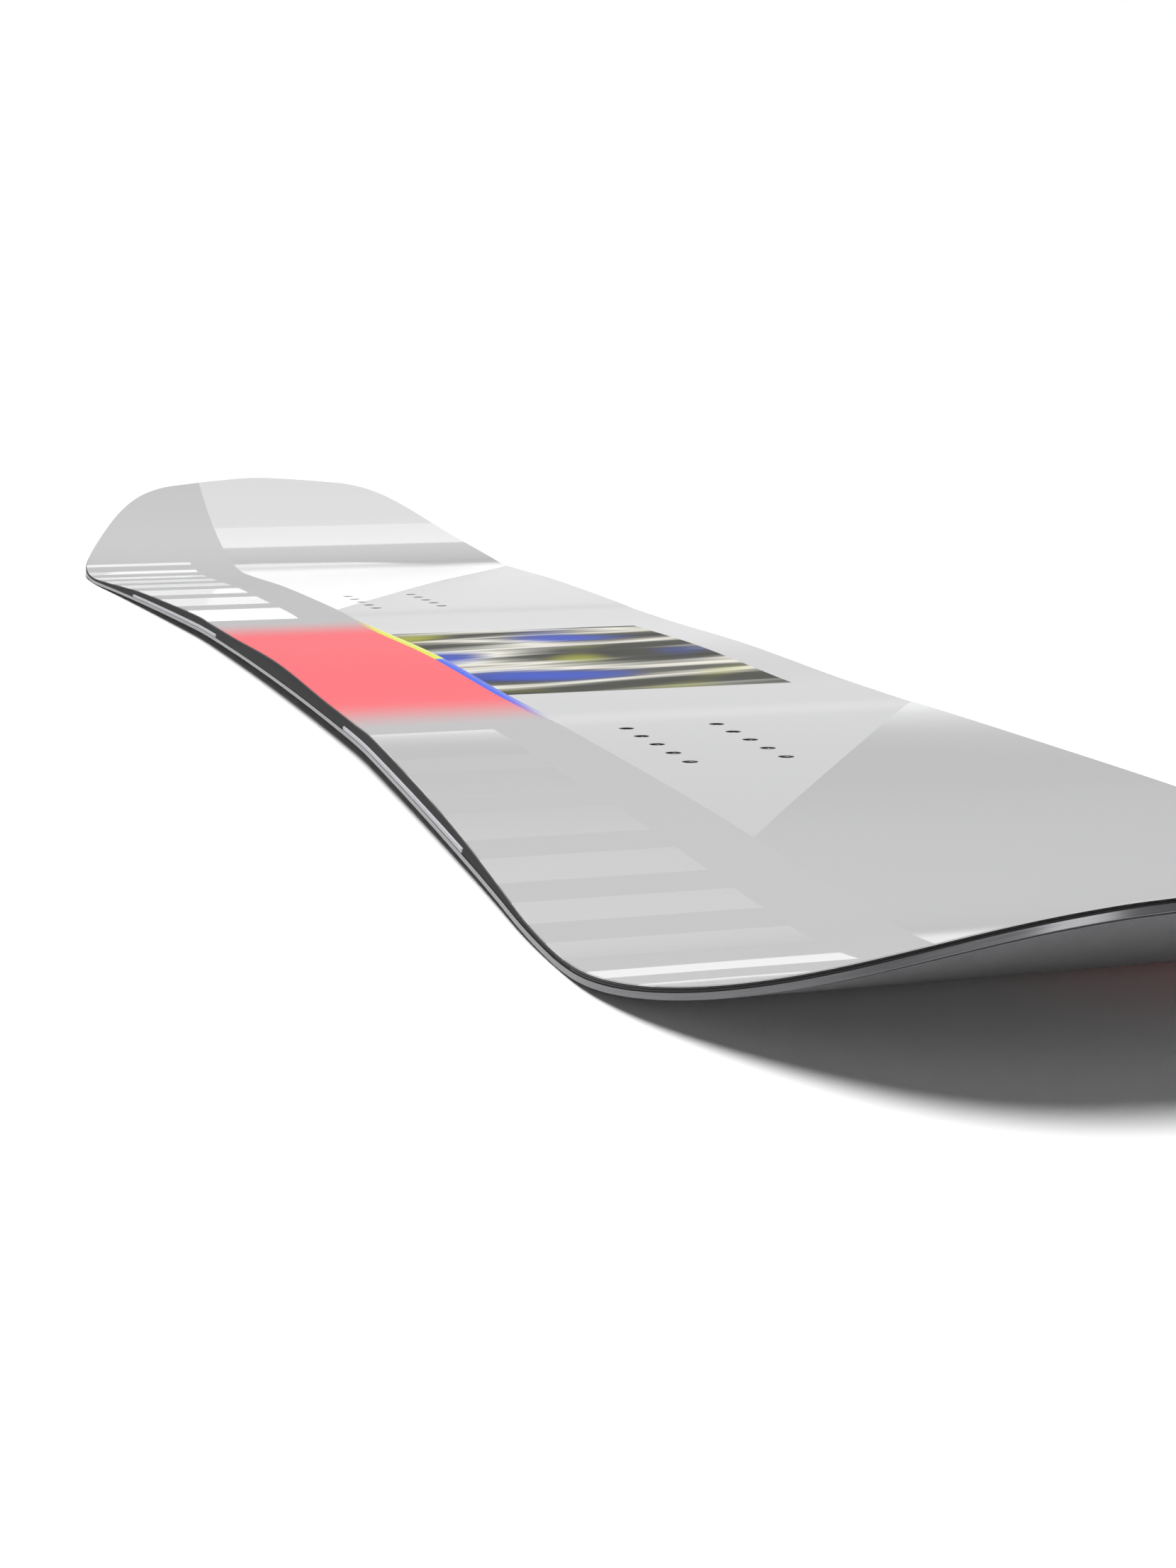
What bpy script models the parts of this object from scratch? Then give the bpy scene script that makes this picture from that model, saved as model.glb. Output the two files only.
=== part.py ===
"""A twin-tip snowboard without bindings, modelled the way it is laid up and pressed.

Frame: +X towards the nose, +Y towards the toe side, +Z up, in metres. The origin is on the
floor under the middle of the board, whose base touches the floor on one line near each tip.

Every layer is drawn in plan, at heights measured square to the base, and then pressed onto the
side profile: cambered between the two contact lines and kicked up beyond them.
"""

import math

import bmesh
import bpy
from mathutils import Matrix, Vector

MM = 0.001

# Plan, measured on the outside of the steel edge
LENGTH = 1535 * MM
WAIST_WIDTH = 251 * MM
WIDEST_WIDTH = 299.5 * MM
TIP_LENGTH = 179.5 * MM
# How fast the sidecut opens: (share of the way from the middle to the widest place, rate)
SIDECUT_RATES = ((0.0, 0.0), (0.32, 0.22), (0.41, 0.69), (0.77, 0.83), (0.88, 1.0), (1.0, 0.0))
# The round of a tip: (share of the tip's length, share of the widest half width)
TIP_ROUND_SHARES = (
    (0.0, 1.0),
    (0.144, 0.99),
    (0.321, 0.948),
    (0.584, 0.837),
    (0.776, 0.718),
    (0.882, 0.608),
    (0.938, 0.49),
    (0.962, 0.36),
    (0.985, 0.19),
    (1.0, 0.0),
)

# Side profile of the base
CAMBER = 4.8 * MM
NOSE_KICK_LENGTH = 195 * MM
NOSE_KICK_RISE = 55 * MM
TAIL_KICK_LENGTH = 205.5 * MM
TAIL_KICK_RISE = 55.5 * MM

# Layers, and the glue line between each and the next
GLUE_LINE = 0.1 * MM
BASE_THICKNESS = 1.2 * MM
TAB_THICKNESS = 0.45 * MM
FOIL_THICKNESS = 0.15 * MM
UPPER_LAMINATE_THICKNESS = 0.4 * MM
TOPSHEET_THICKNESS = 0.4 * MM

# Steel edge: a square rail, and a thin tab that reaches in over the base
RAIL_WIDTH = 2.0 * MM
TAB_REACH = 6.0 * MM
BUTT_GAP = 0.3 * MM

# Sidewall, and the bevel that is ground on the whole rim above the steel
SIDEWALL_WIDTH = 10.0 * MM
RIM_LEDGE = 0.3 * MM
RIM_BEVEL = 0.3

# Damping strips let into the outside of the sidewalls
NOSE_STRIP_LENGTH = 258 * MM
TAIL_STRIP_LENGTH = 250 * MM
# From the contact line back to the end of the strip
NOSE_STRIP_SETBACK = 140 * MM
TAIL_STRIP_SETBACK = 142 * MM
STRIP_HEIGHT = 1.5 * MM
STRIP_DEPTH = 3.5 * MM
STRIP_LEDGE = 0.15 * MM
STRIP_CHAMFER = 0.3 * MM
POCKET_CLEARANCE = 0.2 * MM

# Wood core: its thickness along the board, and the stringers that it is glued up from
CORE_MIDDLE = 6.0 * MM
CORE_WAIST = 4.4 * MM
PAD_START_CORE = 4.95 * MM
PAD_END_CORE = 4.4 * MM
# Where the core is at its waist, as shares of the way from the middle to the binding pad
CORE_WAIST_SPAN = (0.62, 0.85)
# From the binding pad to the contact line: (share of the way, thickness)
CORE_TAPER = ((0.30, 3.8 * MM), (0.74, 1.5 * MM), (0.95, 0.65 * MM))
TIP_FILL_THICKNESS = 0.55 * MM
STRINGER_GAP = 0.1 * MM
BEECH_WIDTH = 24 * MM
OUTER_STRINGERS = ("poplar_inner", "paulownia", "poplar_outer")

# Threaded inserts for the bindings
STANCE = 560 * MM
ROW_SPACING = 40 * MM
HOLE_SPACING = 20 * MM
HOLES_IN_ROW = 5
PAD_LENGTH = 109 * MM
BORE_DIAMETER = 6.0 * MM
BARREL_WALL = 1.5 * MM
FLANGE_LIP = 2.5 * MM
FLANGE_THICKNESS = 1.1 * MM
BORE_FLOOR = 0.7 * MM
SEAT_CLEARANCE = 0.15 * MM
MOUTH_CLEARANCE = 0.2 * MM

# Fineness of the facets
RUNG_SPACING = 50 * MM
TIP_SPACING = 14 * MM
MIDDLE_FLAT = 60 * MM
ROUND_STEPS = 12
OVERCUT = 1 * MM
MERGE_DISTANCE = 0.001 * MM
SHARP_ANGLE = math.radians(25)

# Worked out from the sizes above
HALF_LENGTH = LENGTH / 2
WIDEST_AT = HALF_LENGTH - TIP_LENGTH
NOSE_CONTACT = HALF_LENGTH - NOSE_KICK_LENGTH
TAIL_CONTACT = HALF_LENGTH - TAIL_KICK_LENGTH
TAB_HEIGHT = BASE_THICKNESS + GLUE_LINE
FOIL_HEIGHT = TAB_HEIGHT + TAB_THICKNESS + GLUE_LINE
RAIL_HEIGHT = FOIL_HEIGHT + FOIL_THICKNESS
CORE_HEIGHT = RAIL_HEIGHT + GLUE_LINE
PAD_START = (STANCE - PAD_LENGTH) / 2
PAD_END = (STANCE + PAD_LENGTH) / 2
BORE_RADIUS = BORE_DIAMETER / 2
BARREL_RADIUS = BORE_RADIUS + BARREL_WALL
FLANGE_RADIUS = BARREL_RADIUS + FLANGE_LIP
NOSE, TAIL = 1, -1
TOE, HEEL = 1, -1

# Colour, roughness and metallic value of each material
FINISHES = {
    "topsheet_gloss": ((0.62, 0.63, 0.64), 0.25, 0.0),
    "glass_laminate": ((0.20, 0.21, 0.19), 0.5, 0.0),
    "poplar": ((0.72, 0.58, 0.38), 0.7, 0.0),
    "beech": ((0.55, 0.36, 0.20), 0.7, 0.0),
    "paulownia": ((0.78, 0.68, 0.50), 0.75, 0.0),
    "sidewall_abs": ((0.055, 0.055, 0.06), 0.55, 0.0),
    "tip_fill_abs": ((0.07, 0.07, 0.075), 0.55, 0.0),
    "damping_urethane": ((0.58, 0.58, 0.66), 0.5, 0.0),
    "edge_steel": ((0.40, 0.40, 0.41), 0.35, 1.0),
    "edge_rubber": ((0.03, 0.03, 0.03), 0.8, 0.0),
    "base_polyethylene": ((0.08, 0.08, 0.085), 0.4, 0.0),
    "insert_stainless": ((0.55, 0.55, 0.56), 0.3, 1.0),
}


def share_of(points, x):
    """Height at x of the straight-line chain through points, each (place, height) in order."""
    for (x0, y0), (x1, y1) in zip(points, points[1:]):
        if x <= x1:
            return y0 + (y1 - y0) * (x - x0) / (x1 - x0)
    return points[-1][1]


def smooth_through(points, x):
    """Height at x of a curve through the points that never swings past them."""
    last = len(points) - 1
    if x >= points[last][0]:
        return points[last][1]

    def gradient(k):
        return (points[k + 1][1] - points[k][1]) / (points[k + 1][0] - points[k][0])

    def tangent(k):
        if k in (0, last) or gradient(k - 1) * gradient(k) <= 0:
            return 0.0
        before, after = gradient(k - 1), gradient(k)
        return 2 * before * after / (before + after)

    i = max(k for k in range(last) if points[k][0] <= x)
    span = points[i + 1][0] - points[i][0]
    t = (x - points[i][0]) / span
    rise = points[i][1] * (1 + 2 * t) * (1 - t) ** 2 + points[i + 1][1] * t * t * (3 - 2 * t)
    bend = tangent(i) * t * (1 - t) ** 2 - tangent(i + 1) * t * t * (1 - t)
    return rise + span * bend


def spread(start, end, spacing):
    """Evenly spaced places from start to end, both included, no further apart than spacing."""
    steps = max(1, math.ceil((end - start) / spacing - 1e-6))
    return [start + (end - start) * i / steps for i in range(steps + 1)]


# Side profile


def base_line(x):
    """Height and slope of the base at x: an arc of camber, then a kick past the contact line."""
    contact = NOSE_CONTACT if x > 0 else TAIL_CONTACT
    kick_length = NOSE_KICK_LENGTH if x > 0 else TAIL_KICK_LENGTH
    kick_rise = NOSE_KICK_RISE if x > 0 else TAIL_KICK_RISE
    past = abs(x) - contact
    if past <= 0:
        return CAMBER * (1 - (x / contact) ** 2), -2 * CAMBER * x / contact**2
    steepness = kick_rise / kick_length**2
    return steepness * past**2, math.copysign(2 * steepness * past, x)


def pressed(x, y, height):
    """The point at this height square to the base, over the place (x, y) in plan."""
    base, slope = base_line(x)
    tilt = math.atan(slope)
    return Vector((x - height * math.sin(tilt), y, base + height * math.cos(tilt)))


def core_thickness(x):
    run = min(NOSE_CONTACT, TAIL_CONTACT) - PAD_END
    points = [
        (0.0, CORE_MIDDLE),
        *[(share * PAD_START, CORE_WAIST) for share in CORE_WAIST_SPAN],
        (PAD_START, PAD_START_CORE),
        (PAD_END, PAD_END_CORE),
        *[(PAD_END + share * run, thickness) for share, thickness in CORE_TAPER],
        (PAD_END + run, TIP_FILL_THICKNESS),
    ]
    return smooth_through(points, abs(x))


def core_bottom(_x):
    return CORE_HEIGHT


def core_top(x):
    return CORE_HEIGHT + core_thickness(x)


def laminate_bottom(x):
    return core_top(x) + GLUE_LINE


def laminate_top(x):
    return laminate_bottom(x) + UPPER_LAMINATE_THICKNESS


def topsheet_bottom(x):
    return laminate_top(x) + GLUE_LINE


def topsheet_top(x):
    return topsheet_bottom(x) + TOPSHEET_THICKNESS


# Plan outline


def half_width(x):
    """Half width of the sidecut, up to the widest place: the rates summed from the middle."""

    def opened(share):
        places = sorted({0.0, share, *[place for place, _ in SIDECUT_RATES if place < share]})
        rates = [share_of(SIDECUT_RATES, place) for place in places]
        spans = zip(places, places[1:], rates, rates[1:])
        return sum((b - a) * (rate_a + rate_b) / 2 for a, b, rate_a, rate_b in spans)

    grown = opened(min(1.0, abs(x) / WIDEST_AT)) / opened(1.0)
    return (WAIST_WIDTH + (WIDEST_WIDTH - WAIST_WIDTH) * grown) / 2


def side_place(x):
    """A place on the toe-side outline, between the widest places, and its outward direction."""
    slope = (half_width(x + MM) - half_width(x - MM)) / (2 * MM)
    return Vector((x, half_width(x))), Vector((-slope, 1)).normalized()


def tip_places():
    """The toe-side outline of the nose, from past the widest place to the end of the tip."""
    knots = [Vector((x * TIP_LENGTH, y * WIDEST_WIDTH / 2)) for x, y in TIP_ROUND_SHARES]
    before = Vector((-knots[1].x, knots[1].y))
    after = Vector((knots[-2].x, -knots[-2].y))
    knots = [before, *knots, after]
    points = []
    for p0, p1, p2, p3 in zip(knots, knots[1:], knots[2:], knots[3:]):
        # Knots are spaced by the root of their distance, which keeps the curve free of loops.
        d0, d1, d2 = ((b - a).length ** 0.5 for a, b in ((p0, p1), (p1, p2), (p2, p3)))
        m1 = (p1 - p0) / d0 - (p2 - p0) / (d0 + d1) + (p2 - p1) / d1
        m2 = (p2 - p1) / d1 - (p3 - p1) / (d1 + d2) + (p3 - p2) / d2
        steps = max(1, round((p2 - p1).length / TIP_SPACING))
        for i in range(1, steps + 1):
            t = i / steps
            point = p1 * (2 * t**3 - 3 * t**2 + 1) + p2 * (3 * t**2 - 2 * t**3)
            point += d1 * (m1 * (t**3 - 2 * t**2 + t) + m2 * (t**3 - t**2))
            points.append(point + Vector((WIDEST_AT, 0)))
    points[-1].y = BUTT_GAP / 2
    places = []
    for i, point in enumerate(points):
        previous = points[i - 1] if i else Vector((WIDEST_AT, WIDEST_WIDTH / 2))
        if i + 1 < len(points):
            along = points[i + 1] - previous
            outward = Vector((-along.y, along.x)).normalized()
        else:
            outward = Vector((1, 0))
        places.append((point, outward))
    return places


def side_stations(contact):
    """Distances from the middle of the board's rungs, up to the widest place."""
    inner = spread(MIDDLE_FLAT / 2, PAD_START, RUNG_SPACING)
    outer = spread(PAD_END, contact, RUNG_SPACING)
    return [x for x in inner + outer if x < WIDEST_AT - GLUE_LINE] + [WIDEST_AT]


def mirrored(place):
    point, outward = place
    return Vector((-point.x, point.y)), Vector((-outward.x, outward.y))


def side_outline():
    """The toe-side outline between the widest places, from the tail to the nose."""
    nose = [side_place(x) for x in side_stations(NOSE_CONTACT)]
    tail = [mirrored(side_place(x)) for x in side_stations(TAIL_CONTACT)]
    return tail[::-1] + nose


def full_outline():
    """The toe-side outline from the tail tip to the nose tip."""
    tip = tip_places()
    return [mirrored(place) for place in tip[::-1]] + side_outline() + tip


def rim_inset(height):
    """How far the ground rim stands in from the outside of the steel, at a height."""
    return RIM_LEDGE + RIM_BEVEL * (height - RAIL_HEIGHT)


def inset_point(place, inset, height, side):
    point, outward = place
    x, y = point - inset * outward
    return pressed(x, side * y, height)


# Shapes


def loft(rings):
    """A closed solid through rings of points, each with the same number in the same order."""
    bm = bmesh.new()
    made = [[bm.verts.new(point) for point in ring] for ring in rings]
    count = len(made[0])
    for ring, following in zip(made, made[1:]):
        for i in range(count):
            j = (i + 1) % count
            bm.faces.new((ring[i], ring[j], following[j], following[i]))
    bm.faces.new(made[0])
    bm.faces.new(made[-1][::-1])
    return bm


def plate(outline, bottom, top, bottom_inset, top_inset):
    """A full-width layer: heights and insets are functions of the place along the board."""
    rings = []
    for place in outline:
        x = place[0].x
        toe_low = inset_point(place, bottom_inset(x), bottom(x), TOE)
        toe_high = inset_point(place, top_inset(x), top(x), TOE)
        heel_high = inset_point(place, top_inset(x), top(x), HEEL)
        heel_low = inset_point(place, bottom_inset(x), bottom(x), HEEL)
        rings.append((toe_low, toe_high, heel_high, heel_low))
    return loft(rings)


def rail(outline, section, side):
    """A strip along one side: section(x) lists its corners as (inset, height)."""
    rings = []
    for place in outline:
        corners = section(place[0].x)
        rings.append([inset_point(place, inset, height, side) for inset, height in corners])
    return loft(rings)


def turned(profile):
    """A profile of (radius, height) points turned about Z, both its ends on the axis."""
    bm = bmesh.new()
    half_step = Matrix.Rotation(math.pi / ROUND_STEPS, 4, "Z")
    points = [bm.verts.new(half_step @ Vector((radius, 0, height))) for radius, height in profile]
    edges = [bm.edges.new(pair) for pair in zip(points, points[1:])]
    bmesh.ops.spin(
        bm,
        geom=points + edges,
        cent=(0, 0, 0),
        axis=(0, 0, 1),
        angle=2 * math.pi,
        steps=ROUND_STEPS,
        use_merge=True,
    )
    bmesh.ops.remove_doubles(bm, verts=bm.verts, dist=MERGE_DISTANCE)
    return bm


def copied(bm, matrices):
    """One shape repeated at each placing."""
    template = mesh_of("template", bm)
    group = bmesh.new()
    for matrix in matrices:
        placed = template.copy()
        placed.transform(matrix)
        group.from_mesh(placed)
        bpy.data.meshes.remove(placed)
    bpy.data.meshes.remove(template)
    return group


# Objects


def material(name):
    made = bpy.data.materials.get(name)
    if made is None:
        colour, roughness, metallic = FINISHES[name]
        made = bpy.data.materials.new(name)
        made.use_nodes = True
        shader = made.node_tree.nodes["Principled BSDF"]
        shader.inputs["Base Color"].default_value = (*colour, 1)
        shader.inputs["Roughness"].default_value = roughness
        shader.inputs["Metallic"].default_value = metallic
        made.diffuse_color = (*colour, 1)
    return made


def mesh_of(name, bm):
    bmesh.ops.recalc_face_normals(bm, faces=bm.faces)
    mesh = bpy.data.meshes.new(name)
    bm.to_mesh(mesh)
    bm.free()
    mesh.shade_smooth()
    mesh.set_sharp_from_angle(angle=SHARP_ANGLE)
    return mesh


def add_object(name, data, board):
    made = bpy.data.objects.new(name, data)
    bpy.context.collection.objects.link(made)
    made.parent = board
    return made


def add_piece(name, bm, board, finish):
    mesh = mesh_of(name, bm)
    mesh.materials.append(material(finish))
    return add_object(name, mesh, board)


def add_cutter(name, bm, board):
    cutter = add_object(name, mesh_of(name, bm), board)
    cutter.hide_render = True
    cutter.display_type = "WIRE"
    return cutter


def cut(piece, cutter):
    boolean = piece.modifiers.new(cutter.name, "BOOLEAN")
    boolean.operation = "DIFFERENCE"
    boolean.object = cutter


# Pieces


def make_base(board):
    def inset(_x):
        return RAIL_WIDTH + GLUE_LINE

    shape = plate(full_outline(), lambda _x: 0.0, lambda _x: BASE_THICKNESS, inset, inset)
    add_piece("running_base", shape, board, "base_polyethylene")


def make_edges(board):
    inner = RAIL_WIDTH + TAB_REACH
    tab_top = TAB_HEIGHT + TAB_THICKNESS
    edge = (
        (0, 0),
        (0, RAIL_HEIGHT),
        (RAIL_WIDTH, RAIL_HEIGHT),
        (RAIL_WIDTH, tab_top),
        (inner, tab_top),
        (inner, TAB_HEIGHT),
        (RAIL_WIDTH, TAB_HEIGHT),
        (RAIL_WIDTH, 0),
    )
    foil = (
        (RAIL_WIDTH + GLUE_LINE, FOIL_HEIGHT),
        (RAIL_WIDTH + GLUE_LINE, RAIL_HEIGHT),
        (inner, RAIL_HEIGHT),
        (inner, FOIL_HEIGHT),
    )
    for side, word in ((TOE, "toe"), (HEEL, "heel")):
        edge_shape = rail(full_outline(), lambda _x: edge, side)
        add_piece(f"{word}_steel_edge", edge_shape, board, "edge_steel")
        foil_shape = rail(full_outline(), lambda _x: foil, side)
        add_piece(f"{word}_edge_foil", foil_shape, board, "edge_rubber")


def make_lower_laminate(board):
    def inset(_x):
        return RAIL_WIDTH + TAB_REACH + GLUE_LINE

    shape = plate(full_outline(), lambda _x: TAB_HEIGHT, lambda _x: RAIL_HEIGHT, inset, inset)
    add_piece("lower_laminate", shape, board, "glass_laminate")


def make_core(board, seats):
    stations = [point.x for point, _ in side_outline()]
    beech_inner = (ROW_SPACING - BEECH_WIDTH) / 2
    beech_outer = (ROW_SPACING + BEECH_WIDTH) / 2
    waist_edge = WAIST_WIDTH / 2 - SIDEWALL_WIDTH
    width = (waist_edge - beech_outer) / len(OUTER_STRINGERS)

    def stringer(name, inner, outer, finish):
        rings = []
        for x in stations:
            low, high, y0, y1 = core_bottom(x), core_top(x), inner(x), outer(x)
            corners = ((y0, low), (y0, high), (y1, high), (y1, low))
            rings.append([pressed(x, y, height) for y, height in corners])
        return add_piece(name, loft(rings), board, finish)

    centre = beech_inner - STRINGER_GAP / 2
    stringer("core_centre_poplar", lambda _x: -centre, lambda _x: centre, "poplar")
    for side, word in ((TOE, "toe"), (HEEL, "heel")):
        near = side * (beech_inner + STRINGER_GAP / 2)
        far = side * (beech_outer - STRINGER_GAP / 2)
        beech = stringer(f"core_{word}_beech", lambda _x, y=near: y, lambda _x, y=far: y, "beech")
        cut(beech, seats)
        for i, wood in enumerate(OUTER_STRINGERS):
            near = side * (beech_outer + i * width + STRINGER_GAP / 2)
            far = side * (beech_outer + (i + 1) * width - STRINGER_GAP / 2)

            def outer(x, last=wood == OUTER_STRINGERS[-1], y=far, side=side):
                return side * (half_width(x) - SIDEWALL_WIDTH - GLUE_LINE) if last else y

            stringer(f"core_{word}_{wood}", lambda _x, y=near: y, outer, wood.split("_")[0])


def strip_places(start, stop, end):
    places = [side_place(x) for x in spread(start, stop, RUNG_SPACING)]
    return places if end == NOSE else [mirrored(place) for place in places]


def make_sidewalls(board):
    strips = (
        (NOSE, "nose", NOSE_CONTACT - NOSE_STRIP_SETBACK, NOSE_STRIP_LENGTH),
        (TAIL, "tail", TAIL_CONTACT - TAIL_STRIP_SETBACK, TAIL_STRIP_LENGTH),
    )
    top = CORE_HEIGHT + STRIP_HEIGHT
    strip = (
        (STRIP_LEDGE, CORE_HEIGHT),
        (STRIP_LEDGE, top - STRIP_CHAMFER),
        (STRIP_LEDGE + STRIP_CHAMFER, top),
        (STRIP_DEPTH, top),
        (STRIP_DEPTH, CORE_HEIGHT),
    )
    pocket = (
        (-OVERCUT, CORE_HEIGHT - OVERCUT),
        (-OVERCUT, top + POCKET_CLEARANCE),
        (STRIP_DEPTH + POCKET_CLEARANCE, top + POCKET_CLEARANCE),
        (STRIP_DEPTH + POCKET_CLEARANCE, CORE_HEIGHT - OVERCUT),
    )

    def sidewall(x):
        low, high = core_bottom(x), core_top(x)
        return (
            (rim_inset(low), low),
            (rim_inset(high), high),
            (SIDEWALL_WIDTH, high),
            (SIDEWALL_WIDTH, low),
        )

    for side, word in ((TOE, "toe"), (HEEL, "heel")):
        shape = rail(side_outline(), sidewall, side)
        wall = add_piece(f"{word}_sidewall", shape, board, "sidewall_abs")
        for end, end_word, stop, length in strips:
            name = f"{end_word}_{word}_damping_strip"
            shape = rail(strip_places(stop - length, stop, end), lambda _x: strip, side)
            add_piece(name, shape, board, "damping_urethane")
            start = stop - length - POCKET_CLEARANCE
            grown = strip_places(start, stop + POCKET_CLEARANCE, end)
            shape = rail(grown, lambda _x: pocket, side)
            cut(wall, add_cutter(f"{name}_pocket", shape, board))


def make_tip_fills(board):
    for end, word in ((NOSE, "nose"), (TAIL, "tail")):
        outline = [side_place(WIDEST_AT + STRINGER_GAP), *tip_places()]
        if end == TAIL:
            outline = [mirrored(place) for place in outline]
        shape = plate(
            outline,
            core_bottom,
            core_top,
            lambda x: rim_inset(core_bottom(x)),
            lambda x: rim_inset(core_top(x)),
        )
        add_piece(f"{word}_tip_fill", shape, board, "tip_fill_abs")


def make_upper_laminate(board, seats):
    shape = plate(
        full_outline(),
        laminate_bottom,
        laminate_top,
        lambda x: rim_inset(laminate_bottom(x)),
        lambda x: rim_inset(laminate_top(x)),
    )
    laminate = add_piece("upper_laminate", shape, board, "glass_laminate")
    cut(laminate, seats)


def make_topsheet(board, mouths):
    shape = plate(
        full_outline(),
        topsheet_bottom,
        topsheet_top,
        lambda x: rim_inset(topsheet_bottom(x)),
        lambda x: rim_inset(topsheet_top(x)),
    )
    sheet = add_piece("topsheet", shape, board, "topsheet_gloss")
    cut(sheet, mouths)


def insert_places():
    """Name and placing of every insert: its foot on the lower laminate, square to the base."""
    places = []
    for end, end_word in ((NOSE, "nose"), (TAIL, "tail")):
        for side, side_word in ((TOE, "toe"), (HEEL, "heel")):
            for i in range(HOLES_IN_ROW):
                x = end * (STANCE / 2 + (i - (HOLES_IN_ROW - 1) / 2) * HOLE_SPACING)
                foot = pressed(x, side * ROW_SPACING / 2, CORE_HEIGHT)
                tilt = Matrix.Rotation(-math.atan(base_line(x)[1]), 4, "Y")
                name = f"insert_{end_word}_{side_word}_{i + 1}"
                places.append((name, Matrix.Translation(foot) @ tilt))
    return places


def insert_height():
    """So tall that the barrel ends flush with the laminate at the outermost hole."""
    outermost = STANCE / 2 + (HOLES_IN_ROW - 1) / 2 * HOLE_SPACING
    return laminate_top(outermost) - CORE_HEIGHT


def make_insert_seats(board):
    """The stepped holes in the beech and the upper laminate."""
    flange, barrel = FLANGE_RADIUS + SEAT_CLEARANCE, BARREL_RADIUS + SEAT_CLEARANCE
    step = FLANGE_THICKNESS + SEAT_CLEARANCE
    top = insert_height() + 2 * OVERCUT
    profile = (
        (0, -OVERCUT),
        (flange, -OVERCUT),
        (flange, step),
        (barrel, step),
        (barrel, top),
        (0, top),
    )
    placings = [matrix for _name, matrix in insert_places()]
    return add_cutter("insert_seats", copied(turned(profile), placings), board)


def make_insert_mouths(board):
    """The holes punched through the topsheet over the threads."""
    radius = BORE_RADIUS + MOUTH_CLEARANCE
    top = insert_height() + 3 * OVERCUT
    profile = ((0, BORE_FLOOR), (radius, BORE_FLOOR), (radius, top), (0, top))
    placings = [matrix for _name, matrix in insert_places()]
    return add_cutter("insert_mouths", copied(turned(profile), placings), board)


def make_inserts(board):
    height = insert_height()
    profile = (
        (0, 0),
        (FLANGE_RADIUS, 0),
        (FLANGE_RADIUS, FLANGE_THICKNESS),
        (BARREL_RADIUS, FLANGE_THICKNESS),
        (BARREL_RADIUS, height),
        (BORE_RADIUS, height),
        (BORE_RADIUS, BORE_FLOOR),
        (0, BORE_FLOOR),
    )
    mesh = mesh_of("insert", turned(profile))
    mesh.materials.append(material("insert_stainless"))
    for name, matrix in insert_places():
        add_object(name, mesh, board).matrix_world = matrix


def make_snowboard():
    for old in list(bpy.data.objects):
        bpy.data.objects.remove(old)
    board = add_object("snowboard", None, None)
    seats = make_insert_seats(board)
    mouths = make_insert_mouths(board)
    make_base(board)
    make_edges(board)
    make_lower_laminate(board)
    make_core(board, seats)
    make_sidewalls(board)
    make_tip_fills(board)
    make_inserts(board)
    make_upper_laminate(board, seats)
    make_topsheet(board, mouths)


make_snowboard()
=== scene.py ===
"""Dresses the packed snowboard and sets it in a plain studio.

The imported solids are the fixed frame: +X towards the nose, +Y towards the toe side, +Z up, in
metres, with the base's two contact lines on the floor. What shows is made again here with the
same sizes, in finer facets, with ground chamfers, threads and printed and worked surfaces. What
lies inside the lay-up stays as it was packed and gets its own finish.
"""

from __future__ import annotations

import logging
import math
import sys
from collections.abc import Callable, Sequence
from dataclasses import dataclass, field
from enum import Enum

import bmesh
import bpy
from mathutils import Matrix, Vector


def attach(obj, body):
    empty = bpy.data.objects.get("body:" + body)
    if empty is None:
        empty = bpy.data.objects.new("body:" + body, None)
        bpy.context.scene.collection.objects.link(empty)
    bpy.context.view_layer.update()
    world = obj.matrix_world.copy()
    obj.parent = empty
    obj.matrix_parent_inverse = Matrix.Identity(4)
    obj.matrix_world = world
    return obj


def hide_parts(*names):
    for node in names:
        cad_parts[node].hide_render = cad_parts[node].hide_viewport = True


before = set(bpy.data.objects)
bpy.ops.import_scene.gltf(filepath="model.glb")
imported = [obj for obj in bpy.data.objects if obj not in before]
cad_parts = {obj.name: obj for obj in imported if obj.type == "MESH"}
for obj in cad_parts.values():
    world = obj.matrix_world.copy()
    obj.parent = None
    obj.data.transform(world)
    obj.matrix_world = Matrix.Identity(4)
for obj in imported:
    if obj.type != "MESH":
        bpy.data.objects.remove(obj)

Colour = tuple[float, float, float, float]
Profile = Sequence[tuple[float, float]]
Section = Callable[[float], Profile]

LOG = logging.getLogger("snowboard")
MM = 0.001
# Edges sharper than this many degrees stay crisp
CREASE = 25.0
# How far a cutter reaches past the surface that it opens
CUT_PAST = 1 * MM
# Runs so far off the board that a mask with one of them never starts or never ends
FAR_BACK = (-11.0, -10.0)
FAR_AHEAD = (10.0, 11.0)
# The Mix node's inputs for the lower and the upper coat and its output, by what it mixes
MIX_SOCKETS = {"FLOAT": (2, 3, 0), "RGBA": (6, 7, 2)}
# Where noise, which stays mostly near its middle, takes a pattern's dark and light tones
LOWS, HIGHS = 0.3, 0.7
# The third size of a grain on a flat map, which has no third axis
FLAT = 1.0
# Keeps a whole number of steps whole
ROUNDING = 1e-6


class Side(Enum):
    """The two long sides of the board, with the sign of Y on each."""

    TOE = 1
    HEEL = -1

    @property
    def word(self) -> str:
        """The side's name as the nodes spell it."""
        return self.name.lower()


class End(Enum):
    """The two ends of the board, with the sign of X at each."""

    NOSE = 1
    TAIL = -1

    @property
    def word(self) -> str:
        """The end's name as the nodes spell it."""
        return self.name.lower()


# Materials


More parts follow.
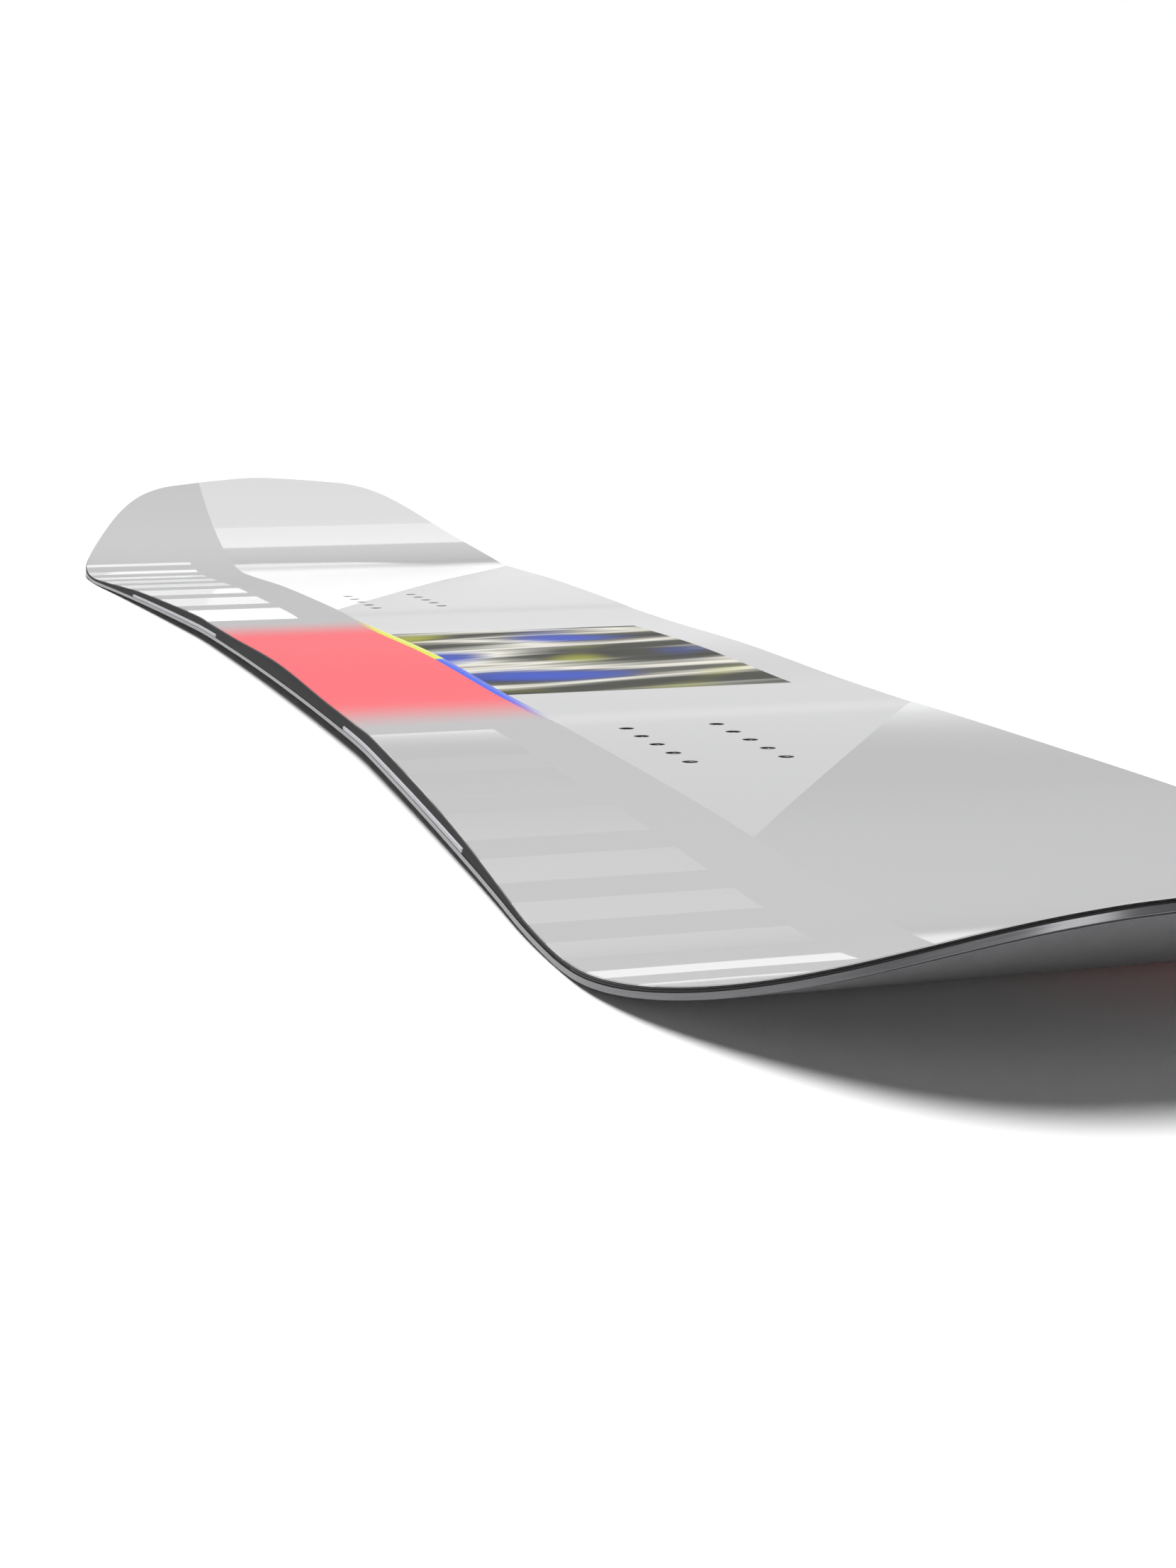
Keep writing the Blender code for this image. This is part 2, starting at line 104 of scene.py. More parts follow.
def srgb(code: str) -> Colour:
    """Turns an sRGB hex colour into the linear one that shaders take.

    Args:
        code: six hex digits after a hash, such as "#c8c8c8".

    Returns:
        Red, green, blue and a full alpha.
    """

    def linear(value: float) -> float:
        """One channel without its gamma."""
        return value / 12.92 if value <= 0.04045 else ((value + 0.055) / 1.055) ** 2.4

    red, green, blue = (linear(int(code[i : i + 2], 16) / 255) for i in (1, 3, 5))
    return red, green, blue, 1.0


def add_node(
    tree: bpy.types.NodeTree,
    kind: str,
    inputs: dict[str | int, object] | None = None,
    stops: Sequence[tuple[float, Colour]] = (),
    **properties: object,
) -> bpy.types.Node:
    """Adds one node with its settings and links.

    Args:
        tree: the node tree that it goes into.
        kind: Blender's name of the node type, without its "ShaderNode".
        inputs: for each input, by name or number, a value or the socket that feeds it.
        stops: places and colours of its colour ramp, if it has one.
        properties: its other settings.

    Returns:
        The new node.
    """
    node = tree.nodes.new(f"ShaderNode{kind}")
    for name, value in properties.items():
        setattr(node, name, value)
    for key, value in (inputs or {}).items():
        if isinstance(value, bpy.types.NodeSocket):
            tree.links.new(value, node.inputs[key])
        else:
            node.inputs[key].default_value = value
    for i, (place, colour) in enumerate(stops):
        elements = node.color_ramp.elements
        stop = elements[i] if i < len(elements) else elements.new(place)
        stop.position, stop.color = place, colour
    return node


@dataclass(frozen=True)
class Finish:
    """A surface: what it is made of and how it was made."""

    name: str
    colour: str
    roughness: float
    metallic: float = 0.0
    ior: float = 1.5

    def material(self) -> bpy.types.Material:
        """Builds the material at the first call and finds it again at the next ones.

        Returns:
            The material.
        """
        made = bpy.data.materials.get(self.name)
        if made is None:
            made = bpy.data.materials.new(self.name)
            made.use_nodes = True
            shader = made.node_tree.nodes["Principled BSDF"]
            shader.inputs["Base Color"].default_value = srgb(self.colour)
            shader.inputs["Roughness"].default_value = self.roughness
            shader.inputs["Metallic"].default_value = self.metallic
            if not self.metallic:
                shader.inputs["IOR"].default_value = self.ior
            self.detail(made.node_tree, shader)
        return made

    def detail(self, tree: bpy.types.NodeTree, shader: bpy.types.Node) -> None:
        """Adds the pattern that the surface shows from close by.

        Args:
            tree: the material's node tree.
            shader: its Principled shader.
        """

    def grain(
        self,
        tree: bpy.types.NodeTree,
        place: bpy.types.NodeSocket,
        size: tuple[float, float, float],
        layers: float = 3.0,
    ) -> bpy.types.NodeSocket:
        """Noise with grains of a real size.

        Args:
            tree: the material's node tree.
            place: the position that it is laid out on, in metres.
            size: length of a grain along each axis, in metres.
            layers: how many finer layers it has.

        Returns:
            A value from 0 to 1.
        """
        scale = tuple(1 / length for length in size)
        laid = add_node(tree, "Mapping", {"Vector": place, "Scale": scale})
        noise = add_node(
            tree, "TexNoise", {"Vector": laid.outputs[0], "Scale": 1.0, "Detail": layers}
        )
        return noise.outputs["Fac"]

    def relief(
        self,
        tree: bpy.types.NodeTree,
        shader: bpy.types.Node,
        height: bpy.types.NodeSocket,
        depth: float,
    ) -> None:
        """Raises the surface by a pattern.

        Args:
            tree: the material's node tree.
            shader: the shader whose normal it tilts.
            height: the pattern, from 0 to 1.
            depth: how high it stands, in metres.
        """
        bump = add_node(tree, "Bump", {"Height": height, "Strength": 1.0, "Distance": depth})
        tree.links.new(bump.outputs[0], shader.inputs["Normal"])

    def two_tone(
        self, tree: bpy.types.NodeTree, pattern: bpy.types.NodeSocket, dark: str, light: str
    ) -> bpy.types.NodeSocket:
        """A colour that goes between two tones by a pattern.

        Args:
            tree: the material's node tree.
            pattern: a value from 0 to 1, mostly near its middle.
            dark: the colour of its lows.
            light: the colour of its highs.

        Returns:
            The colour.
        """
        stops = ((LOWS, srgb(dark)), (HIGHS, srgb(light)))
        return add_node(tree, "ValToRGB", {"Fac": pattern}, stops=stops).outputs[0]


@dataclass(frozen=True)
class GrainedFinish(Finish):
    """A finish whose look up close is one grain, in its two tones and in its relief."""

    # Its dark and light tones, or none where the grain shows in relief alone
    tones: tuple[str, str] | None = None
    # Its length along each axis, or along the piece and round it where it follows the rail
    grain_size: tuple[float, float, float] = (1 * MM, 1 * MM, 1 * MM)
    grain_layers: float = 3.0
    grain_height: float = 0.02 * MM
    along_rail: bool = False

    def detail(self, tree: bpy.types.NodeTree, shader: bpy.types.Node) -> None:
        """Draws the grain, along the piece where it follows the rail.

        Args:
            tree: the material's node tree.
            shader: its Principled shader.
        """
        if self.along_rail:
            place = add_node(tree, "UVMap", uv_map="rail").outputs[0]
        else:
            place = add_node(tree, "TexCoord").outputs["Object"]
        pattern = self.grain(tree, place, self.grain_size, self.grain_layers)
        if self.tones:
            ink = self.two_tone(tree, pattern, *self.tones)
            tree.links.new(ink, shader.inputs["Base Color"])
        self.relief(tree, shader, pattern, self.grain_height)


def span_mask(
    tree: bpy.types.NodeTree,
    value: bpy.types.NodeSocket,
    start: tuple[float, float],
    end: tuple[float, float],
) -> bpy.types.NodeSocket:
    """1 inside a span and 0 outside it, with a soft or sharp run at each end.

    Args:
        tree: the material's node tree.
        value: what is measured.
        start: where the mask begins to rise and where it is full.
        end: where it begins to fall and where it is gone.

    Returns:
        The mask.
    """
    rise, fall = (
        add_node(
            tree,
            "MapRange",
            {
                "Value": value,
                "From Min": run[0],
                "From Max": run[1],
                "To Min": before,
                "To Max": after,
            },
            interpolation_type="SMOOTHSTEP",
        ).outputs[0]
        for run, before, after in ((start, 0.0, 1.0), (end, 1.0, 0.0))
    )
    return add_node(tree, "Math", {0: rise, 1: fall}, operation="MULTIPLY").outputs[0]


def layered(
    tree: bpy.types.NodeTree,
    ground: bpy.types.NodeSocket | Colour | float,
    *coats: tuple[bpy.types.NodeSocket | Colour | float, bpy.types.NodeSocket | float],
    kind: str = "RGBA",
) -> bpy.types.NodeSocket:
    """Coats laid one over another, each where its mask is 1.

    Args:
        tree: the material's node tree.
        ground: the colour or roughness below them all.
        coats: each one's colour or roughness and its mask, the lowest first.
        kind: "RGBA" for colours, "FLOAT" for roughness and other values.

    Returns:
        What shows.
    """
    lower, upper, result = MIX_SOCKETS[kind]
    for coat, mask in coats:
        mix = add_node(tree, "Mix", {0: mask, lower: ground, upper: coat}, data_type=kind)
        ground = mix.outputs[result]
    return ground


@dataclass(frozen=True)
class PrintedPolyamide(Finish):
    """The topsheet: clear polyamide film, printed on its back and spot-varnished on its face.

    The ends are left glossy, the slanted panel between the bindings is satin, and the band on
    the heel side is matt, with glossy bars. The eye sees one grey that flashes white wherever
    it is glossy and mirrors the bright horizon. A painted reflection of that horizon is laid on
    as white ink over the panel before the tail's kick, which is less glossy, and on the bars of
    the tail half.
    """

    name: str = "printed_polyamide_topsheet"
    colour: str = "#c3c3c4"
    roughness: float = 0.05
    band: str = "#b0b0b1"
    satin: str = "#c4c4c5"
    # Painted reflection of the bright horizon: white laid on before the tail's kick and on the
    # tail half's bars
    white: str = "#f4f4f4"
    nose_bars: str = "#cbcbcc"
    coral: str = "#ec6068"
    yellow: str = "#d9de3a"
    blue: str = "#3f5fe0"
    matt_roughness: float = 0.42
    satin_roughness: float = 0.23
    nose_roughness: float = 0.08
    picture_roughness: float = 0.5
    white_roughness: float = 0.3
    # The line between the heel band and the rest, and the coloured stretch of it
    line_at: float = -44 * MM
    line_width: float = 4.5 * MM
    panel_start: float = -106.5 * MM
    panel_end: float = 132 * MM
    tail_fade: float = 83 * MM
    nose_fade: float = 82 * MM
    # How much further towards the tail a slanted edge stands for each metre towards the toe side
    tail_slant: float = 1.68
    nose_slant: float = 1.47
    satin_start: float = -237 * MM
    satin_end: float = 453 * MM
    # The painted reflection, laid on as white, runs from here to the middle, most of it under the
    # satin panel
    white_start: float = -600 * MM
    white_fade: float = 45 * MM
    picture_toe_edge: float = 96.5 * MM
    bar_edge: float = -74 * MM
    # Where each bar starts beyond the middle of the coloured stretch, and its width
    bar_spans: tuple[tuple[float, float], ...] = (
        (214 * MM, 60 * MM),
        (303 * MM, 49 * MM),
        (380 * MM, 40 * MM),
        (446 * MM, 32 * MM),
        (502 * MM, 25 * MM),
        (549 * MM, 19 * MM),
        (588 * MM, 13 * MM),
        (620 * MM, 8 * MM),
    )
    # Over how much an ink begins or ends
    ink_edge: float = 0.3 * MM
    # The print between the bindings: how its streaks lie, in degrees, their sizes along the
    # board and across it, how much the fine ones count, and its tones from lows to highs
    streak_turn: float = -8.0
    streak: tuple[float, float, float] = (52 * MM, 230 * MM, FLAT)
    fine_streak: tuple[float, float, float] = (7 * MM, 220 * MM, FLAT)
    fine_share: float = 0.12
    picture_tones: tuple[tuple[float, str], ...] = (
        (0.32, "#20201b"),
        (0.43, "#3a3b33"),
        (0.48, "#8a8a82"),
        (0.53, "#dedbd0"),
        (0.59, "#5c5c55"),
        (0.68, "#1c1c18"),
    )
    # Its glows: their size, and the highs and lows of their pattern that each one colours
    glow: tuple[float, float, float] = (55 * MM, 90 * MM, FLAT)
    blue_glow: str = "#2f4cb4"
    blue_highs: tuple[float, float] = (0.55, 0.8)
    green_glow: str = "#b4b62c"
    green_lows: tuple[float, float] = (0.2, 0.4)
    ripple: tuple[float, float, float] = (27 * MM, 9 * MM, 9 * MM)
    ripple_height: float = 0.0005 * MM

    @property
    def middle(self) -> float:
        """The middle of the coloured stretch."""
        return (self.panel_start + self.panel_end) / 2

    def from_place(self, place: float) -> tuple[float, float]:
        """The run over which an ink begins or ends at a place."""
        return place, place + self.ink_edge

    def detail(self, tree: bpy.types.NodeTree, shader: bpy.types.Node) -> None:
        """Prints the inks and varnishes in plan, and ripples the film over the core.

        Args:
            tree: the material's node tree.
            shader: its Principled shader.
        """
        place = add_node(tree, "TexCoord").outputs["Object"]
        x, y, _z = add_node(tree, "SeparateXYZ", {"Vector": place}).outputs
        in_band = span_mask(tree, y, FAR_BACK, self.from_place(self.line_at))
        in_satin = self.satin_mask(tree, x, y)
        in_bars = self.bar_mask(tree, x, y)
        in_stretch = span_mask(
            tree,
            x,
            (self.panel_start - self.tail_fade, self.panel_start),
            (self.panel_end, self.panel_end + self.nose_fade),
        )
        half_line = self.line_width / 2
        beside_band = span_mask(
            tree,
            y,
            self.from_place(self.line_at - half_line - self.ink_edge),
            self.from_place(self.line_at + half_line),
        )
        on_line = add_node(
            tree, "Math", {0: beside_band, 1: in_stretch}, operation="MULTIPLY"
        ).outputs[0]
        at_nose_half = span_mask(tree, x, self.from_place(self.middle), FAR_AHEAD)
        # The zone where a painted reflection of the horizon is laid on as white, from before the
        # tail's kick to the middle
        painted_reflection_run = (self.white_start, self.white_start + self.white_fade)
        painted_reflection_zone = span_mask(tree, x, painted_reflection_run, self.from_place(0.0))
        in_picture = self.picture_mask(tree, x, y)

        line_ink = layered(tree, srgb(self.yellow), (srgb(self.blue), at_nose_half))
        # Bars: grey ink in the nose half, a painted reflection in white in the tail half
        bar_ink_and_painted_reflection = layered(tree, srgb(self.white), (srgb(self.nose_bars), at_nose_half))
        band_ink = layered(
            tree, srgb(self.band), (bar_ink_and_painted_reflection, in_bars), (srgb(self.coral), in_stretch)
        )
        ink = layered(
            tree,
            srgb(self.colour),
            (srgb(self.white), painted_reflection_zone),
            (srgb(self.satin), in_satin),
            (self.picture(tree, x, y), in_picture),
            (band_ink, in_band),
            (line_ink, on_line),
        )
        tree.links.new(ink, shader.inputs["Base Color"])

        band_varnish = layered(
            tree, self.matt_roughness, (self.roughness, in_bars), kind="FLOAT"
        )
        varnish = layered(
            tree,
            self.roughness,
            (self.white_roughness, painted_reflection_zone),
            (self.nose_roughness, at_nose_half),
            (self.satin_roughness, in_satin),
            (self.picture_roughness, in_picture),
            (band_varnish, in_band),
            kind="FLOAT",
        )
        tree.links.new(varnish, shader.inputs["Roughness"])
        ripples = self.grain(tree, place, self.ripple, layers=1.0)
        self.relief(tree, shader, ripples, self.ripple_height)

    def satin_mask(
        self,
        tree: bpy.types.NodeTree,
        x: bpy.types.NodeSocket,
        y: bpy.types.NodeSocket,
    ) -> bpy.types.NodeSocket:
        """The satin panel, between one slanted edge towards the tail and one towards the nose.

        Args:
            tree: the material's node tree.
            x: the place along the board.
            y: the place across the board.

        Returns:
            1 on the panel and 0 beyond it.
        """
        from_line = add_node(tree, "Math", {0: y, 1: self.line_at}, operation="SUBTRACT")
        from_tail, from_nose = (
            add_node(
                tree, "Math", {0: from_line.outputs[0], 1: slant, 2: x}, operation="MULTIPLY_ADD"
            ).outputs[0]
            for slant in (self.tail_slant, self.nose_slant)
        )
        past_tail_edge = span_mask(
            tree, from_tail, self.from_place(self.satin_start), FAR_AHEAD
        )
        before_nose_edge = span_mask(
            tree, from_nose, FAR_BACK, self.from_place(self.satin_end)
        )
        return add_node(
            tree, "Math", {0: past_tail_edge, 1: before_nose_edge}, operation="MULTIPLY"
        ).outputs[0]

    def bar_mask(
        self,
        tree: bpy.types.NodeTree,
        x: bpy.types.NodeSocket,
        y: bpy.types.NodeSocket,
    ) -> bpy.types.NodeSocket:
        """The plain bars across the heel band, narrower towards each tip.

        Args:
            tree: the material's node tree.
            x: the place along the board.
            y: the place across the board.

        Returns:
            1 on a bar and 0 between them.
        """
        offset = add_node(tree, "Math", {0: x, 1: self.middle}, operation="SUBTRACT")
        beyond = add_node(tree, "Math", {0: offset.outputs[0]}, operation="ABSOLUTE").outputs[0]
        total: bpy.types.NodeSocket | float = 0.0
        for start, width in self.bar_spans:
            bar = span_mask(tree, beyond, self.from_place(start), self.from_place(start + width))
            total = add_node(tree, "Math", {0: total, 1: bar}, operation="ADD").outputs[0]
        inside = span_mask(tree, y, FAR_BACK, self.from_place(self.bar_edge))
        return add_node(tree, "Math", {0: total, 1: inside}, operation="MULTIPLY").outputs[0]

    def picture_mask(
        self,
        tree: bpy.types.NodeTree,
        x: bpy.types.NodeSocket,
        y: bpy.types.NodeSocket,
    ) -> bpy.types.NodeSocket:
        """The rectangle of the print between the bindings.

        Args:
            tree: the material's node tree.
            x: the place along the board.
            y: the place across the board.

        Returns:
            1 on the print and 0 round it.
        """
        heel_edge = self.line_at + self.line_width / 2
        across, along = (
            span_mask(tree, value, self.from_place(start), self.from_place(end))
            for value, start, end in (
                (y, heel_edge, self.picture_toe_edge),
                (x, self.panel_start, self.panel_end),
            )
        )
        return add_node(tree, "Math", {0: across, 1: along}, operation="MULTIPLY").outputs[0]

    def picture(
        self,
        tree: bpy.types.NodeTree,
        x: bpy.types.NodeSocket,
        y: bpy.types.NodeSocket,
    ) -> bpy.types.NodeSocket:
        """The plain abstract print between the bindings: slanted streaks with two glows.

        Args:
            tree: the material's node tree.
            x: the place along the board.
            y: the place across the board.

        Returns:
            Its colour.
        """
        flat = add_node(tree, "CombineXYZ", {"X": x, "Y": y}).outputs[0]
        rotation = (0.0, 0.0, math.radians(self.streak_turn))
        slanted = add_node(tree, "Mapping", {"Vector": flat, "Rotation": rotation}).outputs[0]
        streaks = self.grain(tree, slanted, self.streak, layers=1.0)
        fine = self.grain(tree, slanted, self.fine_streak, layers=0.0)
        blend = layered(tree, streaks, (fine, self.fine_share), kind="FLOAT")
        stops = [(place, srgb(code)) for place, code in self.picture_tones]
        tones = add_node(tree, "ValToRGB", {"Fac": blend}, stops=stops).outputs[0]
        glow = self.grain(tree, slanted, self.glow, layers=0.0)
        blue = span_mask(tree, glow, self.blue_highs, FAR_AHEAD)
        green = span_mask(tree, glow, FAR_BACK, self.green_lows)
        return layered(
            tree, tones, (srgb(self.blue_glow), blue), (srgb(self.green_glow), green)
        )


@dataclass(frozen=True)
class GroundAbs(GrainedFinish):
    """Charcoal ABS, extruded and ground to its bevel: satin, with fine marks along the board.

    The grinding marks are drawn 0.3 mm wide so that they show.
    """

    name: str = "ground_abs_sidewall"
    colour: str = "#202022"
    roughness: float = 0.75
    ior: float = 1.53
    tones: tuple[str, str] = ("#1b1b1d", "#252527")
    grain_size: tuple[float, float, float] = (40 * MM, 0.3 * MM, FLAT)
    grain_layers: float = 2.0
    grain_height: float = 0.01 * MM
    along_rail: bool = True


@dataclass(frozen=True)
class MouldedAbs(GrainedFinish):
    """Black ABS tip spacer, die-cut from moulded sheet: dull black with a faint pebble."""

    name: str = "moulded_abs_tip_fill"
    colour: str = "#161617"
    roughness: float = 0.55
    ior: float = 1.53
    tones: tuple[str, str] = ("#121213", "#1c1c1d")
    grain_size: tuple[float, float, float] = (0.6 * MM, 0.6 * MM, 0.6 * MM)


@dataclass(frozen=True)
class GroundSteel(GrainedFinish):
    """Hardened spring steel, drawn square and ground on its two free faces.

    The eye sees a grey satin line with streaks along it, brighter where it faces a light. The
    streaks are drawn 0.2 mm wide so that they show.
    """

    name: str = "ground_spring_steel_edge"
    colour: str = "#707072"
    roughness: float = 0.3
    metallic: float = 1.0
    tones: tuple[str, str] = ("#676769", "#79797b")
    grain_size: tuple[float, float, float] = (25 * MM, 0.2 * MM, FLAT)
    grain_height: float = 0.004 * MM
    along_rail: bool = True


@dataclass(frozen=True)
class SinteredPolyethylene(Finish):
    """The running base: sintered graphite polyethylene, stone-ground and waxed.

    The eye sees a dark grey, waxy sheet with a fine ground structure along it, and a die-cut
    coral field that fades out under each tip.
    """

    name: str = "sintered_polyethylene_base"
    colour: str = "#656567"
    roughness: float = 0.38
    ior: float = 1.51
    tones: tuple[str, str] = ("#5f5f61", "#6b6b6d")
    structure: tuple[float, float, float] = (60 * MM, 1 * MM, 60 * MM)
    speckle: tuple[float, float, float] = (0.9 * MM, 0.9 * MM, 0.9 * MM)
    speckle_share: float = 0.5
    structure_height: float = 0.01 * MM
    coral: str = "#d8303c"
    # The coral field: how far from the middle it starts and ends, its edge across the board,
    # and how softly it fades
    field_start: float = 330 * MM
    field_end: float = 700 * MM
    field_edge: float = -60 * MM
    field_fade: float = 110 * MM

    def detail(self, tree: bpy.types.NodeTree, shader: bpy.types.Node) -> None:
        """Grinds the structure at a pitch of 1 mm and fades the coral field in.

        Args:
            tree: the material's node tree.
            shader: its Principled shader.
        """
        place = add_node(tree, "TexCoord").outputs["Object"]
        structure = self.grain(tree, place, self.structure, layers=2.0)
        speckle = self.grain(tree, place, self.speckle, layers=2.0)
        both = layered(tree, structure, (speckle, self.speckle_share), kind="FLOAT")
        grey = self.two_tone(tree, both, *self.tones)
        x, y, _z = add_node(tree, "SeparateXYZ", {"Vector": place}).outputs
        along = add_node(tree, "Math", {0: x}, operation="ABSOLUTE").outputs[0]
        fade = self.field_fade
        in_tip = span_mask(
            tree,
            along,
            (self.field_start, self.field_start + fade),
            (self.field_end - fade, self.field_end),
        )
        in_side = span_mask(tree, y, (self.field_edge, self.field_edge + fade), FAR_AHEAD)
        mask = add_node(tree, "Math", {0: in_tip, 1: in_side}, operation="MULTIPLY").outputs[0]
        ink = layered(tree, grey, (srgb(self.coral), mask))
        tree.links.new(ink, shader.inputs["Base Color"])
        self.relief(tree, shader, structure, self.structure_height)


@dataclass(frozen=True)
class CastUrethane(GrainedFinish):
    """Damping strip: cast polyurethane, pale grey with a breath of lavender.

    The eye sees a dull skin, mottled with flow marks along the strip.
    """

    name: str = "cast_urethane_damping_strip"
    colour: str = "#c4c4ca"
    roughness: float = 0.45
    ior: float = 1.49
    tones: tuple[str, str] = ("#bdbdc4", "#cbcbd0")
    grain_size: tuple[float, float, float] = (6 * MM, 0.5 * MM, FLAT)
    grain_height: float = 0.01 * MM
    along_rail: bool = True


@dataclass(frozen=True)
class GlassLaminate(Finish):
    """Glass cloth in tinted epoxy, pressed: dark, semi-gloss, with the cloth's diagonal weave."""

    name: str = "epoxy_glass_laminate"
    colour: str = "#171816"
    roughness: float = 0.45
    ior: float = 1.54
    tones: tuple[str, str] = ("#121311", "#1e1f1c")
    tow: float = 2.2 * MM
    tow_height: float = 0.03 * MM
    weave_turns: tuple[float, float] = (45.0, -45.0)
    waviness: float = 0.3

    def detail(self, tree: bpy.types.NodeTree, shader: bpy.types.Node) -> None:
        """Weaves tows of glass at 45 degrees both ways.

        Args:
            tree: the material's node tree.
            shader: its Principled shader.
        """
        place = add_node(tree, "TexCoord").outputs["Object"]
        # At a scale of 1, Blender's waves repeat every pi / 10 metres
        scale = math.pi / (10 * self.tow)
        waves = []
        for degrees in self.weave_turns:
            rotation = (0.0, 0.0, math.radians(degrees))
            laid = add_node(tree, "Mapping", {"Vector": place, "Rotation": rotation}).outputs[0]
            inputs = {"Vector": laid, "Scale": scale, "Distortion": self.waviness}
            waves.append(add_node(tree, "TexWave", inputs).outputs["Fac"])
        weave = layered(tree, waves[0], (waves[1], 0.5), kind="FLOAT")
        ink = self.two_tone(tree, weave, *self.tones)
        tree.links.new(ink, shader.inputs["Base Color"])
        self.relief(tree, shader, weave, self.tow_height)


@dataclass(frozen=True)
class Timber(Finish):
    """A stringer of the core: straight-grained wood, planed, with its grain along the board."""

    name: str = "planed_poplar"
    colour: str = "#d9c29a"
    roughness: float = 0.6
    early: str = "#dfcaa4"
    late: str = "#c3a577"
    ring: float = 3 * MM
    vessel: float = 0.4 * MM
    # How many times its width each runs along the board, and how much the vessels count
    ring_run: float = 60.0
    vessel_run: float = 20.0
    vessel_share: float = 0.35
    vessel_depth: float = 0.02 * MM

    def detail(self, tree: bpy.types.NodeTree, shader: bpy.types.Node) -> None:
        """Draws growth rings and vessels, long along the board and narrow across it.

        Args:
            tree: the material's node tree.
            shader: its Principled shader.
        """
        place = add_node(tree, "TexCoord").outputs["Object"]
        ring, vessel = self.ring, self.vessel
        rings = self.grain(tree, place, (ring * self.ring_run, ring, ring * 2), layers=2.0)
        vessels = self.grain(tree, place, (vessel * self.vessel_run, vessel, vessel))
        both = layered(tree, rings, (vessels, self.vessel_share), kind="FLOAT")
        ink = self.two_tone(tree, both, self.late, self.early)
        tree.links.new(ink, shader.inputs["Base Color"])
        self.relief(tree, shader, vessels, self.vessel_depth)


POPLAR = Timber()
BEECH = Timber(
    name="planed_beech",
    colour="#c08f63",
    early="#c9996c",
    late="#a87449",
    ring=2 * MM,
    vessel=0.25 * MM,
)
PAULOWNIA = Timber(
    name="planed_paulownia",
    colour="#e0cfae",
    early="#e6d8bb",
    late="#cdb68d",
    ring=5 * MM,
    vessel=0.6 * MM,
)


@dataclass(frozen=True)
class VulcanisedRubber(GrainedFinish):
    """Rubber foil over the edge's tab: calendered and dull black, with a fine tooth."""

    name: str = "vulcanised_rubber_foil"
    colour: str = "#1b1b1c"
    roughness: float = 0.8
    ior: float = 1.52
    tones: tuple[str, str] = ("#161617", "#222223")
    grain_size: tuple[float, float, float] = (0.5 * MM, 0.5 * MM, 0.5 * MM)


@dataclass(frozen=True)
class TurnedStainless(GrainedFinish):
    """Insert: free-cutting stainless steel, turned and tapped, with the tool's rings on it.

    The rings are drawn 0.15 mm apart so that they show.
    """

    name: str = "turned_stainless_insert"
    colour: str = "#8d8d8f"
    roughness: float = 0.3
    metallic: float = 1.0
    tones: tuple[str, str] = ("#7f7f81", "#9c9c9e")
    grain_size: tuple[float, float, float] = (10 * MM, 10 * MM, 0.15 * MM)
    grain_layers: float = 2.0
    grain_height: float = 0.004 * MM


@dataclass(frozen=True)
class TablePaint(GrainedFinish):
    """The table: white emulsion on board, rolled on, so that it throws an even matt white.

    The roller's stipple shows in its relief alone.
    """

    name: str = "rolled_white_emulsion"
    colour: str = "#f2f2f2"
    roughness: float = 0.9
    grain_size: tuple[float, float, float] = (2 * MM, 2 * MM, 2 * MM)
    grain_layers: float = 2.0


# The board's form


def along_line(points: Profile, x: float) -> float:
    """Height at x of the chain of straight lines through points.

    Args:
        points: (place, height) pairs in order.
        x: the place.

    Returns:
        The height there.
    """
    for (x0, y0), (x1, y1) in zip(points, points[1:]):
        if x <= x1:
            return y0 + (y1 - y0) * (x - x0) / (x1 - x0)
    return points[-1][1]


def along_curve(points: Profile, x: float) -> float:
    """Height at x of a curve through points that never swings past them.

    Args:
        points: (place, height) pairs in order.
        x: the place.

    Returns:
        The height there.
    """
    last = len(points) - 1
    if x >= points[last][0]:
        return points[last][1]
    steps = [(b[1] - a[1]) / (b[0] - a[0]) for a, b in zip(points, points[1:])]

    def tangent(k: int) -> float:
        """Slope of the curve at a point.

        Args:
            k: the point's number.

        Returns:
            The harmonic mean of the slopes beside it, or 0 at an end, a peak or a dip.
        """
        if k in (0, last) or steps[k - 1] * steps[k] <= 0:
            return 0.0
        return 2 * steps[k - 1] * steps[k] / (steps[k - 1] + steps[k])

    i = max(k for k in range(last) if points[k][0] <= x)
    span = points[i + 1][0] - points[i][0]
    t = (x - points[i][0]) / span
    rise = points[i][1] * (1 + 2 * t) * (1 - t) ** 2 + points[i + 1][1] * t * t * (3 - 2 * t)
    return rise + span * (tangent(i) * t * (1 - t) ** 2 - tangent(i + 1) * t * t * (1 - t))


def spread(start: float, end: float, spacing: float) -> list[float]:
    """Evenly spaced places from start to end, no further apart than spacing."""
    steps = max(1, math.ceil((end - start) / spacing - ROUNDING))
    return [start + (end - start) * i / steps for i in range(steps + 1)]


@dataclass(frozen=True)
class Place:
    """A place on the toe-side outline: its plan position, the way out, and how far along it is."""

    point: Vector
    outward: Vector
    along: float = 0.0


